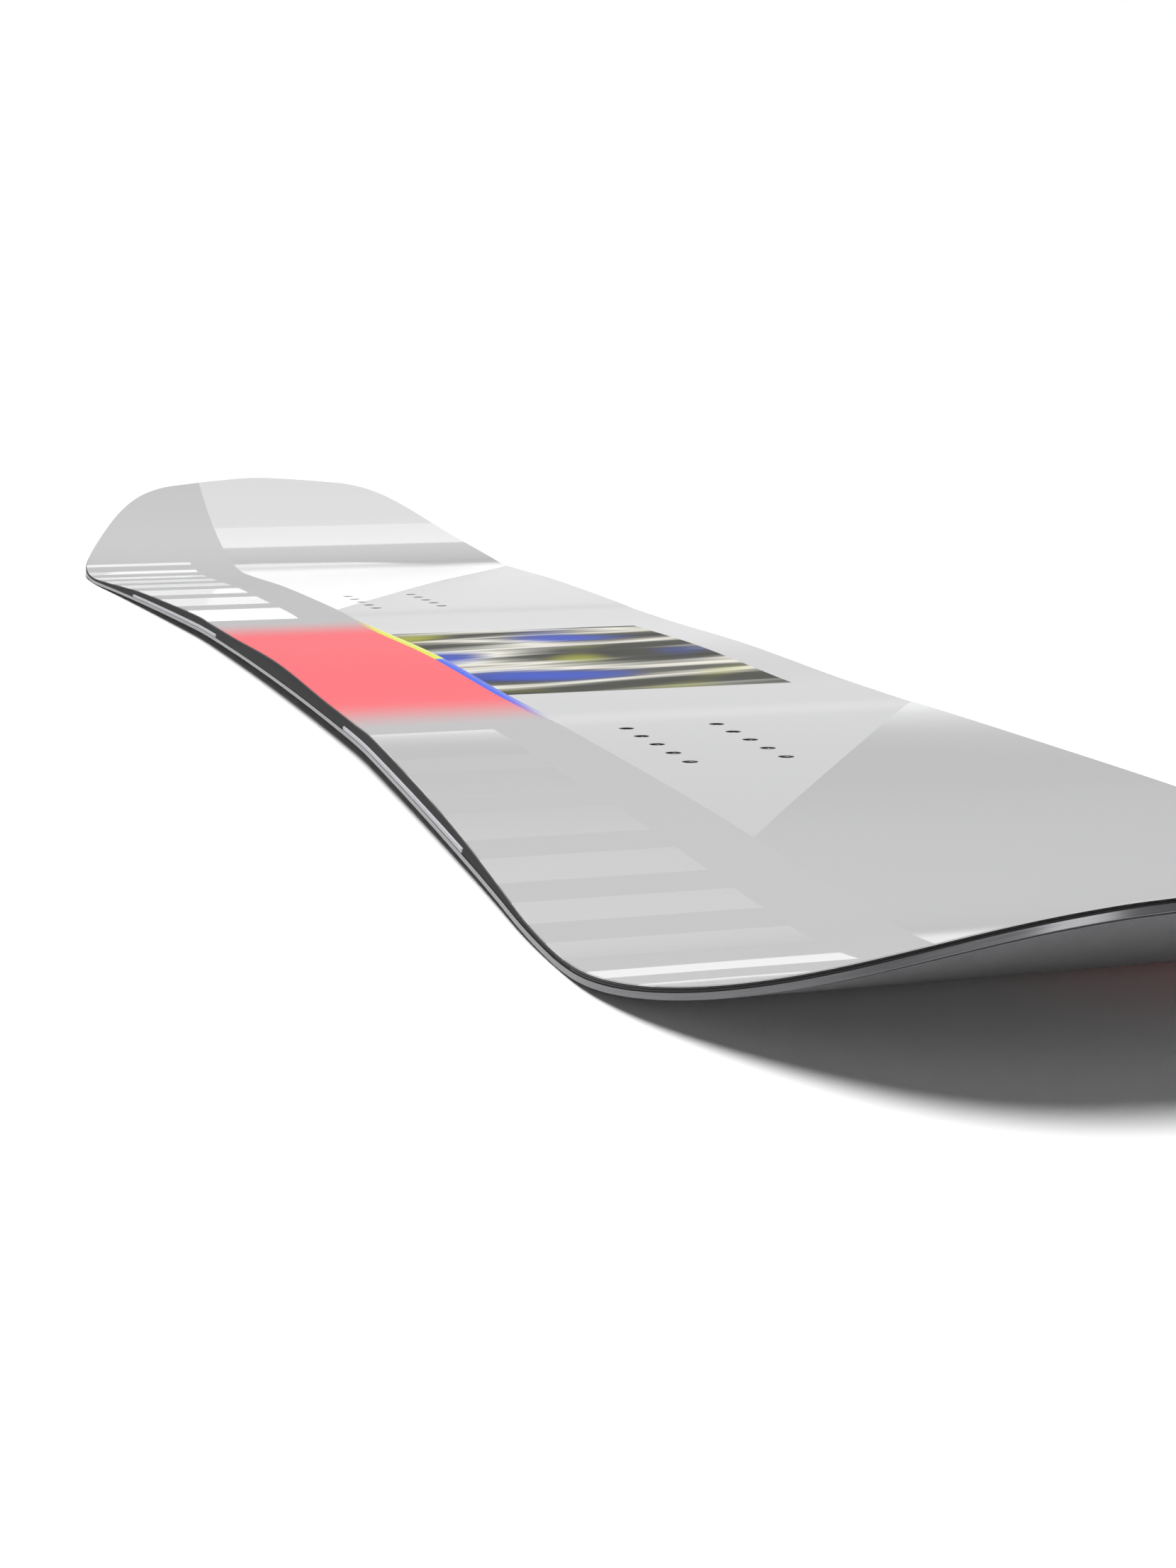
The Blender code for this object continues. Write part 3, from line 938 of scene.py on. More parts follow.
@dataclass(frozen=True)
class BoardForm:
    """Plan, side profile and layer heights of the board, as its solids have them, in metres."""

    length: float = 1535 * MM
    waist_width: float = 251 * MM
    widest_width: float = 299.5 * MM
    tip_length: float = 179.5 * MM
    # How fast the width grows, by the share of the way from the waist to the widest place
    sidecut_rates: tuple[tuple[float, float], ...] = (
        (0.0, 0.0),
        (0.32, 0.22),
        (0.41, 0.69),
        (0.77, 0.83),
        (0.88, 1.0),
        (1.0, 0.0),
    )
    # The tip's outline, in shares of its length and of half the widest width
    tip_round: tuple[tuple[float, float], ...] = (
        (0.0, 1.0),
        (0.144, 0.99),
        (0.321, 0.948),
        (0.584, 0.837),
        (0.776, 0.718),
        (0.882, 0.608),
        (0.938, 0.49),
        (0.962, 0.36),
        (0.985, 0.19),
        (1.0, 0.0),
    )
    camber: float = 4.8 * MM
    # At the nose and at the tail
    kick_length: tuple[float, float] = (195 * MM, 205.5 * MM)
    kick_rise: tuple[float, float] = (55 * MM, 55.5 * MM)
    glue_line: float = 0.1 * MM
    base_thickness: float = 1.2 * MM
    tab_thickness: float = 0.45 * MM
    foil_thickness: float = 0.15 * MM
    laminate_thickness: float = 0.4 * MM
    topsheet_thickness: float = 0.4 * MM
    rail_width: float = 2 * MM
    rim_ledge: float = 0.3 * MM
    # How far the ground rim leans in for each metre of height
    rim_bevel: float = 0.3
    # Between the two sides' steel at the end of each tip
    butt_gap: float = 0.3 * MM
    core_middle: float = 6.0 * MM
    core_waist: float = 4.4 * MM
    # Where the waist's thickness holds, in shares of the way from the middle to a pad
    core_waist_span: tuple[float, float] = (0.62, 0.85)
    pad_start_core: float = 4.95 * MM
    pad_end_core: float = 4.4 * MM
    # Thickness by the share of the way from a pad to the contact line
    core_taper: tuple[tuple[float, float], ...] = (
        (0.30, 3.8 * MM),
        (0.74, 1.5 * MM),
        (0.95, 0.65 * MM),
    )
    tip_fill_thickness: float = 0.55 * MM
    stance: float = 560 * MM
    pad_length: float = 109 * MM
    # How far apart the sections stand, along the sides and round the tips
    side_spacing: float = 8 * MM
    tip_spacing: float = 2.5 * MM

    @property
    def widest_at(self) -> float:
        """How far from the middle the board is widest."""
        return self.length / 2 - self.tip_length

    @property
    def contacts(self) -> tuple[float, float]:
        """How far from the middle the base meets the floor, at the nose and at the tail."""
        return self.length / 2 - self.kick_length[0], self.length / 2 - self.kick_length[1]

    @property
    def tab_height(self) -> float:
        """Height of the underside of the edge's tab over the base."""
        return self.base_thickness + self.glue_line

    @property
    def rail_height(self) -> float:
        """Height of the steel edge."""
        foil = self.tab_height + self.tab_thickness + self.glue_line
        return foil + self.foil_thickness

    @property
    def core_bottom(self) -> float:
        """Height of the underside of the core, the sidewalls and the tip fills."""
        return self.rail_height + self.glue_line

    def core_top(self, x: float) -> float:
        """Height of the top of the core.

        Args:
            x: the place along the board.

        Returns:
            The height over the base there.
        """
        pad_start = (self.stance - self.pad_length) / 2
        pad_end = (self.stance + self.pad_length) / 2
        run = min(self.contacts) - pad_end
        points = [
            (0.0, self.core_middle),
            *[(share * pad_start, self.core_waist) for share in self.core_waist_span],
            (pad_start, self.pad_start_core),
            (pad_end, self.pad_end_core),
            *[(pad_end + share * run, thickness) for share, thickness in self.core_taper],
            (pad_end + run, self.tip_fill_thickness),
        ]
        return self.core_bottom + along_curve(points, abs(x))

    def laminate_bottom(self, x: float) -> float:
        """Height of the underside of the upper laminate at x."""
        return self.core_top(x) + self.glue_line

    def laminate_top(self, x: float) -> float:
        """Height of the top of the upper laminate at x."""
        return self.laminate_bottom(x) + self.laminate_thickness

    def topsheet_bottom(self, x: float) -> float:
        """Height of the underside of the topsheet at x."""
        return self.laminate_top(x) + self.glue_line

    def topsheet_top(self, x: float) -> float:
        """Height of the face of the topsheet at x."""
        return self.topsheet_bottom(x) + self.topsheet_thickness

    def rim_inset(self, height: float) -> float:
        """How far the ground rim stands in from the outside of the steel, at a height."""
        return self.rim_ledge + self.rim_bevel * (height - self.rail_height)

    def base_line(self, x: float) -> tuple[float, float]:
        """Height and slope of the base.

        Args:
            x: the place along the board.

        Returns:
            Its height over the floor there, and its rise for each metre towards the nose.
        """
        i = 0 if x > 0 else 1
        past = abs(x) - self.contacts[i]
        if past <= 0:
            ratio = x / self.contacts[i]
            return self.camber * (1 - ratio**2), -2 * self.camber * ratio / self.contacts[i]
        steepness = self.kick_rise[i] / self.kick_length[i] ** 2
        return steepness * past**2, math.copysign(2 * steepness * past, x)

    def pressed(self, x: float, y: float, height: float) -> Vector:
        """The point square to the base over a place in plan.

        Args:
            x: the place along the board.
            y: the place across it.
            height: how far above the base.

        Returns:
            The point in space.
        """
        base, slope = self.base_line(x)
        tilt = math.atan(slope)
        return Vector((x - height * math.sin(tilt), y, base + height * math.cos(tilt)))

    def half_width(self, x: float) -> float:
        """Half width of the sidecut.

        Args:
            x: the place along the board. Beyond the widest place nothing changes.

        Returns:
            The half width there.
        """

        def opened(share: float) -> float:
            """How far the width has grown.

            Args:
                share: how far along from the waist to the widest place, from 0 to 1.

            Returns:
                The area under the rates up to there.
            """
            rates = self.sidecut_rates
            places = sorted({0.0, share, *[place for place, _ in rates if place < share]})
            values = [along_line(rates, place) for place in places]
            spans = zip(places, places[1:], values, values[1:])
            return sum((b - a) * (rate_a + rate_b) / 2 for a, b, rate_a, rate_b in spans)

        grown = opened(min(1.0, abs(x) / self.widest_at)) / opened(1.0)
        return (self.waist_width + (self.widest_width - self.waist_width) * grown) / 2

    def side_place(self, x: float) -> Place:
        """The place at x on the toe-side outline, between the widest places."""
        slope = (self.half_width(x + MM) - self.half_width(x - MM)) / (2 * MM)
        return Place(Vector((x, self.half_width(x))), Vector((-slope, 1)).normalized(), x)

    def tip_places(self) -> list[Place]:
        """The toe-side outline of the nose from the widest place to the end of the tip.

        Returns:
            Places on a smooth curve through the knots of tip_round.
        """
        half = self.widest_width / 2
        knots = [Vector((x * self.tip_length, y * half)) for x, y in self.tip_round]
        knots = [
            Vector((-knots[1].x, knots[1].y)),
            *knots,
            Vector((knots[-2].x, -knots[-2].y)),
        ]
        points = []
        for p0, p1, p2, p3 in zip(knots, knots[1:], knots[2:], knots[3:]):
            d0, d1, d2 = ((b - a).length ** 0.5 for a, b in ((p0, p1), (p1, p2), (p2, p3)))
            m1 = (p1 - p0) / d0 - (p2 - p0) / (d0 + d1) + (p2 - p1) / d1
            m2 = (p2 - p1) / d1 - (p3 - p1) / (d1 + d2) + (p3 - p2) / d2
            for t in spread(0.0, 1.0, self.tip_spacing / (p2 - p1).length)[1:]:
                point = p1 * (2 * t**3 - 3 * t**2 + 1) + p2 * (3 * t**2 - 2 * t**3)
                point += d1 * (m1 * (t**3 - 2 * t**2 + t) + m2 * (t**3 - t**2))
                points.append(point + Vector((self.widest_at, 0)))
        points[-1].y = self.butt_gap / 2
        places, along = [], self.widest_at
        for i, point in enumerate(points):
            previous = points[i - 1] if i else Vector((self.widest_at, half))
            following = points[i + 1] if i + 1 < len(points) else None
            way = (following if following else point) - previous
            outward = Vector((-way.y, way.x)).normalized() if following else Vector((1, 0))
            along += (point - previous).length
            places.append(Place(point, outward, along))
        return places

    def mirrored(self, place: Place) -> Place:
        """The same place at the tail."""
        point, outward = place.point, place.outward
        return Place(Vector((-point.x, point.y)), Vector((-outward.x, outward.y)), -place.along)

    def side_outline(self) -> list[Place]:
        """The toe-side outline between the widest places, from the tail to the nose."""
        places = spread(-self.widest_at, self.widest_at, self.side_spacing)
        return [self.side_place(x) for x in places]

    def full_outline(self) -> list[Place]:
        """The toe-side outline from the tail tip to the nose tip."""
        tip = self.tip_places()
        return [self.mirrored(place) for place in tip[::-1]] + self.side_outline() + tip

    def rim_point(self, place: Place, inset: float, height: float, side: Side) -> Vector:
        """The point in from the outline and up from the base.

        Args:
            place: the place on the toe-side outline.
            inset: how far in from it.
            height: how far above the base, square to it.
            side: which side of the board.

        Returns:
            The point in space.
        """
        x, y = place.point - inset * place.outward
        return self.pressed(x, side.value * y, height)


# Meshes and objects


def loft(name: str, rings: Sequence[Sequence[Vector]], along: Sequence[float]) -> bpy.types.Mesh:
    """A closed solid through rings of points, with a map in metres along and round it.

    Args:
        name: the mesh's name.
        rings: the rings in order, each with the same number of points in the same order.
        along: how far along the piece each ring lies.

    Returns:
        The mesh, with its map named "rail".
    """
    bm = bmesh.new()
    layer = bm.loops.layers.uv.new("rail")
    made = [[bm.verts.new(point) for point in ring] for ring in rings]
    count = len(rings[0])
    middle = rings[len(rings) // 2]
    girth = [0.0]
    for i in range(count):
        girth.append(girth[-1] + (middle[(i + 1) % count] - middle[i]).length)
    for k, (ring, following) in enumerate(zip(made, made[1:])):
        for i in range(count):
            j = (i + 1) % count
            face = bm.faces.new((ring[i], ring[j], following[j], following[i]))
            corners = ((k, i), (k, i + 1), (k + 1, i + 1), (k + 1, i))
            for corner, (at, around) in zip(face.loops, corners):
                corner[layer].uv = (along[at], girth[around])
    bm.faces.new(made[0])
    bm.faces.new(made[-1][::-1])
    return finished_mesh(name, bm)


def smoothed(mesh: bpy.types.Mesh, crease: float = CREASE) -> bpy.types.Mesh:
    """Shades a mesh smooth but for its sharp edges.

    Args:
        mesh: the mesh.
        crease: from how many degrees an edge is sharp.

    Returns:
        The same mesh.
    """
    mesh.shade_smooth()
    mesh.set_sharp_from_angle(angle=math.radians(crease))
    return mesh


def finished_mesh(name: str, bm: bmesh.types.BMesh, crease: float = CREASE) -> bpy.types.Mesh:
    """Turns a bmesh into a smooth mesh with its faces outwards.

    Args:
        name: the mesh's name.
        bm: its faces. It is used up.
        crease: from how many degrees an edge is sharp.

    Returns:
        The mesh.
    """
    bmesh.ops.recalc_face_normals(bm, faces=bm.faces)
    mesh = bpy.data.meshes.new(name)
    bm.to_mesh(mesh)
    bm.free()
    return smoothed(mesh, crease)


def placed(name: str, data: bpy.types.ID) -> bpy.types.Object:
    """Puts a mesh, a lamp or a camera into the scene.

    Args:
        name: the object's name.
        data: what it shows.

    Returns:
        The object.
    """
    made = bpy.data.objects.new(name, data)
    bpy.context.collection.objects.link(made)
    return made


def turned(profile: Profile, steps: int) -> bmesh.types.BMesh:
    """A profile turned about Z.

    Args:
        profile: its (radius, height) points, the first and the last on the axis.
        steps: how many facets go round.

    Returns:
        The closed shape.
    """
    bm = bmesh.new()
    rings: list[list[bmesh.types.BMVert]] = []
    for radius, height in profile:
        turns = range(steps) if radius else range(1)
        angles = [2 * math.pi * i / steps for i in turns]
        ring = [bm.verts.new((radius * math.cos(a), radius * math.sin(a), height)) for a in angles]
        rings.append(ring)
    for ring, following in zip(rings, rings[1:]):
        for i in range(steps):
            corners = [ring[i % len(ring)], ring[(i + 1) % len(ring)]]
            corners += [following[(i + 1) % len(following)], following[i % len(following)]]
            bm.faces.new(list(dict.fromkeys(corners)))
    return bm


def cut_out(mesh: bpy.types.Mesh, cutters: Sequence[bpy.types.Mesh]) -> bpy.types.Mesh:
    """Cuts closed shapes out of a mesh and makes its new edges crisp.

    Args:
        mesh: what is cut. It is used up.
        cutters: what it is cut with. They are used up.

    Returns:
        The cut mesh.
    """
    piece = placed(mesh.name, mesh)
    helpers = [placed(cutter.name, cutter) for cutter in cutters]
    for helper in helpers:
        boolean = piece.modifiers.new(helper.name, "BOOLEAN")
        boolean.operation, boolean.object = "DIFFERENCE", helper
    graph = bpy.context.evaluated_depsgraph_get()
    made = bpy.data.meshes.new_from_object(piece.evaluated_get(graph))
    for helper in (piece, *helpers):
        bpy.data.objects.remove(helper)
    return smoothed(made)


def add_piece(
    name: str, mesh: bpy.types.Mesh, finish: Finish, slot: str, *nodes: str
) -> bpy.types.Object:
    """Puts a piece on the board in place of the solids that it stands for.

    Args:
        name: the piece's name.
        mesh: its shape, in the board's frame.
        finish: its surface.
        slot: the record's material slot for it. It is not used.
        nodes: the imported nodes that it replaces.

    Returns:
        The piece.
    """
    mesh.materials.clear()
    mesh.materials.append(finish.material())
    piece = placed(name, mesh)
    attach(piece, "root")
    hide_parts(*nodes)
    LOG.info("%s: %d faces for %s", name, len(mesh.polygons), ", ".join(nodes))
    return piece


def dress(node: str, finish: Finish) -> None:
    """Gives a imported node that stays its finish.

    Args:
        node: the node's name.
        finish: its surface.
    """
    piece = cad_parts[node]
    for slot in piece.material_slots:
        slot.material = finish.material()
    LOG.info("%s: kept as packed, in %s", node, finish.name)


@dataclass
class Layer:
    """A full-width layer of the lay-up, between two heights, with small chamfers on its rim."""

    form: BoardForm
    chamfer: float = 0.08 * MM
    # On the lower edge of the rim, where it has one
    foot_chamfer: float = 0.0
    round_steps: int = 32

    def plate(
        self,
        name: str,
        outline: Sequence[Place],
        bottom: Callable[[float], float],
        top: Callable[[float], float],
        inset: Callable[[float], float],
    ) -> bpy.types.Mesh:
        """Lofts the layer along the outline.

        Args:
            name: the mesh's name.
            outline: the places that it runs through.
            bottom: height of its underside at x.
            top: height of its face at x.
            inset: how far its rim stands in from the steel's outside, at a height.

        Returns:
            The mesh.
        """
        rings = []
        for place in outline:
            low, high = bottom(place.point.x), top(place.point.x)
            rim = (
                (inset(low) + self.foot_chamfer, low),
                (inset(low + self.foot_chamfer), low + self.foot_chamfer),
                (inset(high - self.chamfer), high - self.chamfer),
                (inset(high) + self.chamfer, high),
            )
            if not self.foot_chamfer:
                rim = rim[1:]
            ring = [self.form.rim_point(place, i, h, Side.TOE) for i, h in rim]
            ring += [self.form.rim_point(place, i, h, Side.HEEL) for i, h in rim[::-1]]
            rings.append(ring)
        return loft(name, rings, [place.along for place in outline])

    def punched(self, sheet: bpy.types.Mesh, punch: Section) -> bpy.types.Mesh:
        """Punches a round hole over every insert.

        Args:
            sheet: the layer. It is used up.
            punch: at x, the punch's (radius, height) points over the insert's foot.

        Returns:
            The layer with its holes.
        """
        cutters = []
        for name, matrix in InsertPattern(self.form).placings().items():
            shape = turned(punch(matrix.translation.x), self.round_steps)
            cutter = finished_mesh(f"{name}_punch", shape)
            cutter.transform(matrix)
            cutters.append(cutter)
        return cut_out(sheet, cutters)


@dataclass
class Rail:
    """A strip that follows one side of the board."""

    form: BoardForm

    def strip(
        self, name: str, outline: Sequence[Place], section: Section, side: Side
    ) -> bpy.types.Mesh:
        """Lofts a section along one side.

        Args:
            name: the mesh's name.
            outline: the places that it runs through.
            section: its corners at x, each as (inset, height).
            side: which side of the board.

        Returns:
            The mesh.
        """
        rings = [
            [self.form.rim_point(place, i, h, side) for i, h in section(place.point.x)]
            for place in outline
        ]
        return loft(name, rings, [place.along for place in outline])


@dataclass
class InsertPattern:
    """Where the threaded inserts stand, and their common height."""

    form: BoardForm
    row_spacing: float = 40 * MM
    hole_spacing: float = 20 * MM
    holes_in_row: int = 5

    def height(self) -> float:
        """Height of an insert, flush with the laminate at the outermost hole."""
        outermost = self.form.stance / 2 + (self.holes_in_row - 1) / 2 * self.hole_spacing
        return self.form.laminate_top(outermost) - self.form.core_bottom

    def placings(self) -> dict[str, Matrix]:
        """Where every insert stands, its foot on the lower laminate.

        Returns:
            The placing of each, by its node's name.
        """
        found = {}
        for end in End:
            for side in Side:
                y = side.value * self.row_spacing / 2
                for i in range(self.holes_in_row):
                    step = (i - (self.holes_in_row - 1) / 2) * self.hole_spacing
                    x = end.value * (self.form.stance / 2 + step)
                    foot = self.form.pressed(x, y, self.form.core_bottom)
                    tilt = Matrix.Rotation(-math.atan(self.form.base_line(x)[1]), 4, "Y")
                    name = f"insert_{end.word}_{side.word}_{i + 1}"
                    found[name] = Matrix.Translation(foot) @ tilt
        return found


@dataclass
class Topsheet(Layer):
    """The glossy film over the whole top, punched over the threads."""

    round_steps: int = 48
    mouth_radius: float = 3.2 * MM
    mouth_chamfer: float = 0.2 * MM
    punch_foot: float = 1.5 * MM
    finish: PrintedPolyamide = field(default_factory=PrintedPolyamide)

    def punch(self, x: float) -> Profile:
        """The punch, with a slight flare at the film's face.

        Args:
            x: the hole's place along the board.

        Returns:
            Its (radius, height) points over the insert's foot.
        """
        top = self.form.topsheet_top(x) - self.form.core_bottom
        flare = self.mouth_radius + self.mouth_chamfer
        return (
            (0.0, self.punch_foot),
            (self.mouth_radius, self.punch_foot),
            (self.mouth_radius, top - self.mouth_chamfer),
            (flare, top),
            (flare + CUT_PAST, top + CUT_PAST),
            (0.0, top + CUT_PAST),
        )

    def build(self) -> None:
        """Lofts the film, punches its holes and prints it."""
        form = self.form
        sheet = self.plate(
            "topsheet_film",
            form.full_outline(),
            form.topsheet_bottom,
            form.topsheet_top,
            form.rim_inset,
        )
        sheet = self.punched(sheet, self.punch)
        add_piece("topsheet_film", sheet, self.finish, "topsheet", "topsheet")


@dataclass
class Laminates(Layer):
    """The glass laminates above and below the core."""

    seat_radius: float = 4.65 * MM
    punch_span: tuple[float, float] = (1.5 * MM, 9 * MM)
    finish: GlassLaminate = field(default_factory=GlassLaminate)

    def punch(self, _x: float) -> Profile:
        """The punch, straight and as wide as an insert's barrel and its clearance.

        Args:
            _x: the hole's place along the board, which changes nothing.

        Returns:
            Its (radius, height) points over the insert's foot.
        """
        foot, top = self.punch_span
        return (0.0, foot), (self.seat_radius, foot), (self.seat_radius, top), (0.0, top)

    def build(self) -> None:
        """Lofts the upper laminate, whose rim shows, and dresses the lower one."""
        form = self.form
        sheet = self.plate(
            "upper_glass_laminate",
            form.full_outline(),
            form.laminate_bottom,
            form.laminate_top,
            form.rim_inset,
        )
        sheet = self.punched(sheet, self.punch)
        add_piece("upper_glass_laminate", sheet, self.finish, "laminate", "upper_laminate")
        dress("lower_laminate", self.finish)


@dataclass
class SteelEdges(Rail):
    """The steel edge on each side, with its tab and the rubber foil over it."""

    tab_reach: float = 6 * MM
    chamfer: float = 0.12 * MM
    finish: GroundSteel = field(default_factory=GroundSteel)
    foil: VulcanisedRubber = field(default_factory=VulcanisedRubber)

    def section(self, _x: float) -> Profile:
        """The edge in section, with its free corners eased.

        Args:
            _x: the place along the board, which changes nothing.

        Returns:
            Its corners, each as (inset, height).
        """
        form, ease, width = self.form, self.chamfer, self.form.rail_width
        tab_top = form.tab_height + form.tab_thickness
        inner = width + self.tab_reach
        return [
            (ease, 0.0),
            (0.0, ease),
            (0.0, form.rail_height - ease),
            (ease, form.rail_height),
            (width, form.rail_height),
            (width, tab_top),
            (inner, tab_top),
            (inner, form.tab_height),
            (width, form.tab_height),
            (width, ease),
            (width - ease, 0.0),
        ]

    def build(self) -> None:
        """Lofts both edges and dresses the foils."""
        outline = self.form.full_outline()
        for side in Side:
            name = f"{side.word}_ground_edge"
            mesh = self.strip(name, outline, self.section, side)
            add_piece(name, mesh, self.finish, "steel_edge", f"{side.word}_steel_edge")
            dress(f"{side.word}_edge_foil", self.foil)


@dataclass
class Sidewalls(Rail):
    """The ground sidewall on each side and the two damping strips let into it."""

    width: float = 10 * MM
    # The eased top edge: how far down and, as a share of that, how far in it reaches, and the
    # most that it takes of a thin wall's height
    ease: float = 0.15 * MM
    ease_slope: float = 0.5
    ease_limit: float = 0.3
    strip_length: dict[End, float] = field(
        default_factory=lambda: {End.NOSE: 258 * MM, End.TAIL: 250 * MM}
    )
    # From the contact line back to the end of the strip
    strip_setback: dict[End, float] = field(
        default_factory=lambda: {End.NOSE: 140 * MM, End.TAIL: 142 * MM}
    )
    strip_height: float = 1.5 * MM
    strip_depth: float = 3.5 * MM
    strip_ledge: float = 0.15 * MM
    strip_chamfer: float = 0.3 * MM
    # The corner that rounds the strip's chamfer, in and down as shares of it
    chamfer_crown: tuple[float, float] = (0.3, 0.35)
    clearance: float = 0.2 * MM
    finish: GroundAbs = field(default_factory=GroundAbs)
    strip_finish: CastUrethane = field(default_factory=CastUrethane)

    def wall_section(self, x: float) -> Profile:
        """The sidewall in section, with its top edge eased.

        Args:
            x: the place along the board.

        Returns:
            Its corners there, each as (inset, height).
        """
        form = self.form
        low, high = form.core_bottom, form.core_top(x)
        eased = high - min(self.ease, self.ease_limit * (high - low))
        return [
            (form.rim_inset(low), low),
            (form.rim_inset(eased), eased),
            (form.rim_inset(high) + self.ease_slope * self.ease, high),
            (self.width, high),
            (self.width, low),
        ]

    def strip_section(self, _x: float) -> Profile:
        """A damping strip in section, with its outer top edge chamfered.

        Args:
            _x: the place along the board, which changes nothing.

        Returns:
            Its corners, each as (inset, height).
        """
        low = self.form.core_bottom
        top = low + self.strip_height
        ledge, chamfer = self.strip_ledge, self.strip_chamfer
        crown_in, crown_down = self.chamfer_crown
        return [
            (ledge, low),
            (ledge, top - chamfer),
            (ledge + crown_in * chamfer, top - crown_down * chamfer),
            (ledge + chamfer, top),
            (self.strip_depth, top),
            (self.strip_depth, low),
        ]

    def pocket_section(self, _x: float) -> Profile:
        """The cutter of a strip's pocket in section.

        Args:
            _x: the place along the board, which changes nothing.

        Returns:
            Its corners, each as (inset, height).
        """
        low = self.form.core_bottom - CUT_PAST
        top = self.form.core_bottom + self.strip_height + self.clearance
        depth = self.strip_depth + self.clearance
        return [(-CUT_PAST, low), (-CUT_PAST, top), (depth, top), (depth, low)]

    def stretch(self, end: End, margin: float) -> list[Place]:
        """The outline along one end's strip.

        Args:
            end: the end of the board.
            margin: how much further it runs at both ends of the strip.

        Returns:
            Its places on the toe side.
        """
        contact = self.form.contacts[0 if end is End.NOSE else 1]
        stop = contact - self.strip_setback[end] + margin
        start = stop - self.strip_length[end] - 2 * margin
        places = [self.form.side_place(x) for x in spread(start, stop, self.form.side_spacing)]
        return places if end is End.NOSE else [self.form.mirrored(place) for place in places]

    def build(self) -> None:
        """Lofts the strips, and the sidewalls with a pocket for each strip."""
        for side in Side:
            pockets = []
            for end in End:
                name = f"{end.word}_{side.word}_cast_strip"
                mesh = self.strip(name, self.stretch(end, 0.0), self.strip_section, side)
                node = f"{end.word}_{side.word}_damping_strip"
                add_piece(name, mesh, self.strip_finish, "damping_strip", node)
                stretch = self.stretch(end, self.clearance)
                pockets.append(self.strip(f"{name}_pocket", stretch, self.pocket_section, side))
            name = f"{side.word}_ground_sidewall"
            wall = self.strip(name, self.form.side_outline(), self.wall_section, side)
            wall = cut_out(wall, pockets)
            add_piece(name, wall, self.finish, "sidewall", f"{side.word}_sidewall")


@dataclass
class TipFills(Layer):
    """The spacer that fills each tip beyond the sidewalls."""

    # From the sidewall's end
    gap: float = 0.1 * MM
    finish: MouldedAbs = field(default_factory=MouldedAbs)

    def build(self) -> None:
        """Lofts the spacer of each tip."""
        form = self.form
        for end in End:
            outline = [form.side_place(form.widest_at + self.gap), *form.tip_places()]
            if end is End.TAIL:
                outline = [form.mirrored(place) for place in outline]
            mesh = self.plate(
                f"{end.word}_spacer",
                outline,
                lambda _x: form.core_bottom,
                form.core_top,
                form.rim_inset,
            )
            add_piece(f"{end.word}_spacer", mesh, self.finish, "tip_fill", f"{end.word}_tip_fill")


@dataclass
class RunningBase(Layer):
    """The polyethylene sheet that slides on the snow."""

    foot_chamfer: float = 0.15 * MM
    finish: SinteredPolyethylene = field(default_factory=SinteredPolyethylene)

    def build(self) -> None:
        """Lofts the sheet between the steel edges."""
        form = self.form
        mesh = self.plate(
            "ground_base",
            form.full_outline(),
            lambda _x: 0.0,
            lambda _x: form.base_thickness,
            lambda _height: form.rail_width + form.glue_line,
        )
        add_piece("ground_base", mesh, self.finish, "base", "running_base")


@dataclass
class Core:
    """The wood core, glued up from nine stringers."""

    sides: tuple[tuple[str, Timber], ...] = (
        ("beech", BEECH),
        ("poplar_inner", POPLAR),
        ("paulownia", PAULOWNIA),
        ("poplar_outer", POPLAR),
    )

    def build(self) -> None:
        """Dresses every stringer in its wood."""
        dress("core_centre_poplar", POPLAR)
        for side in Side:
            for word, wood in self.sides:
                dress(f"core_{side.word}_{word}", wood)


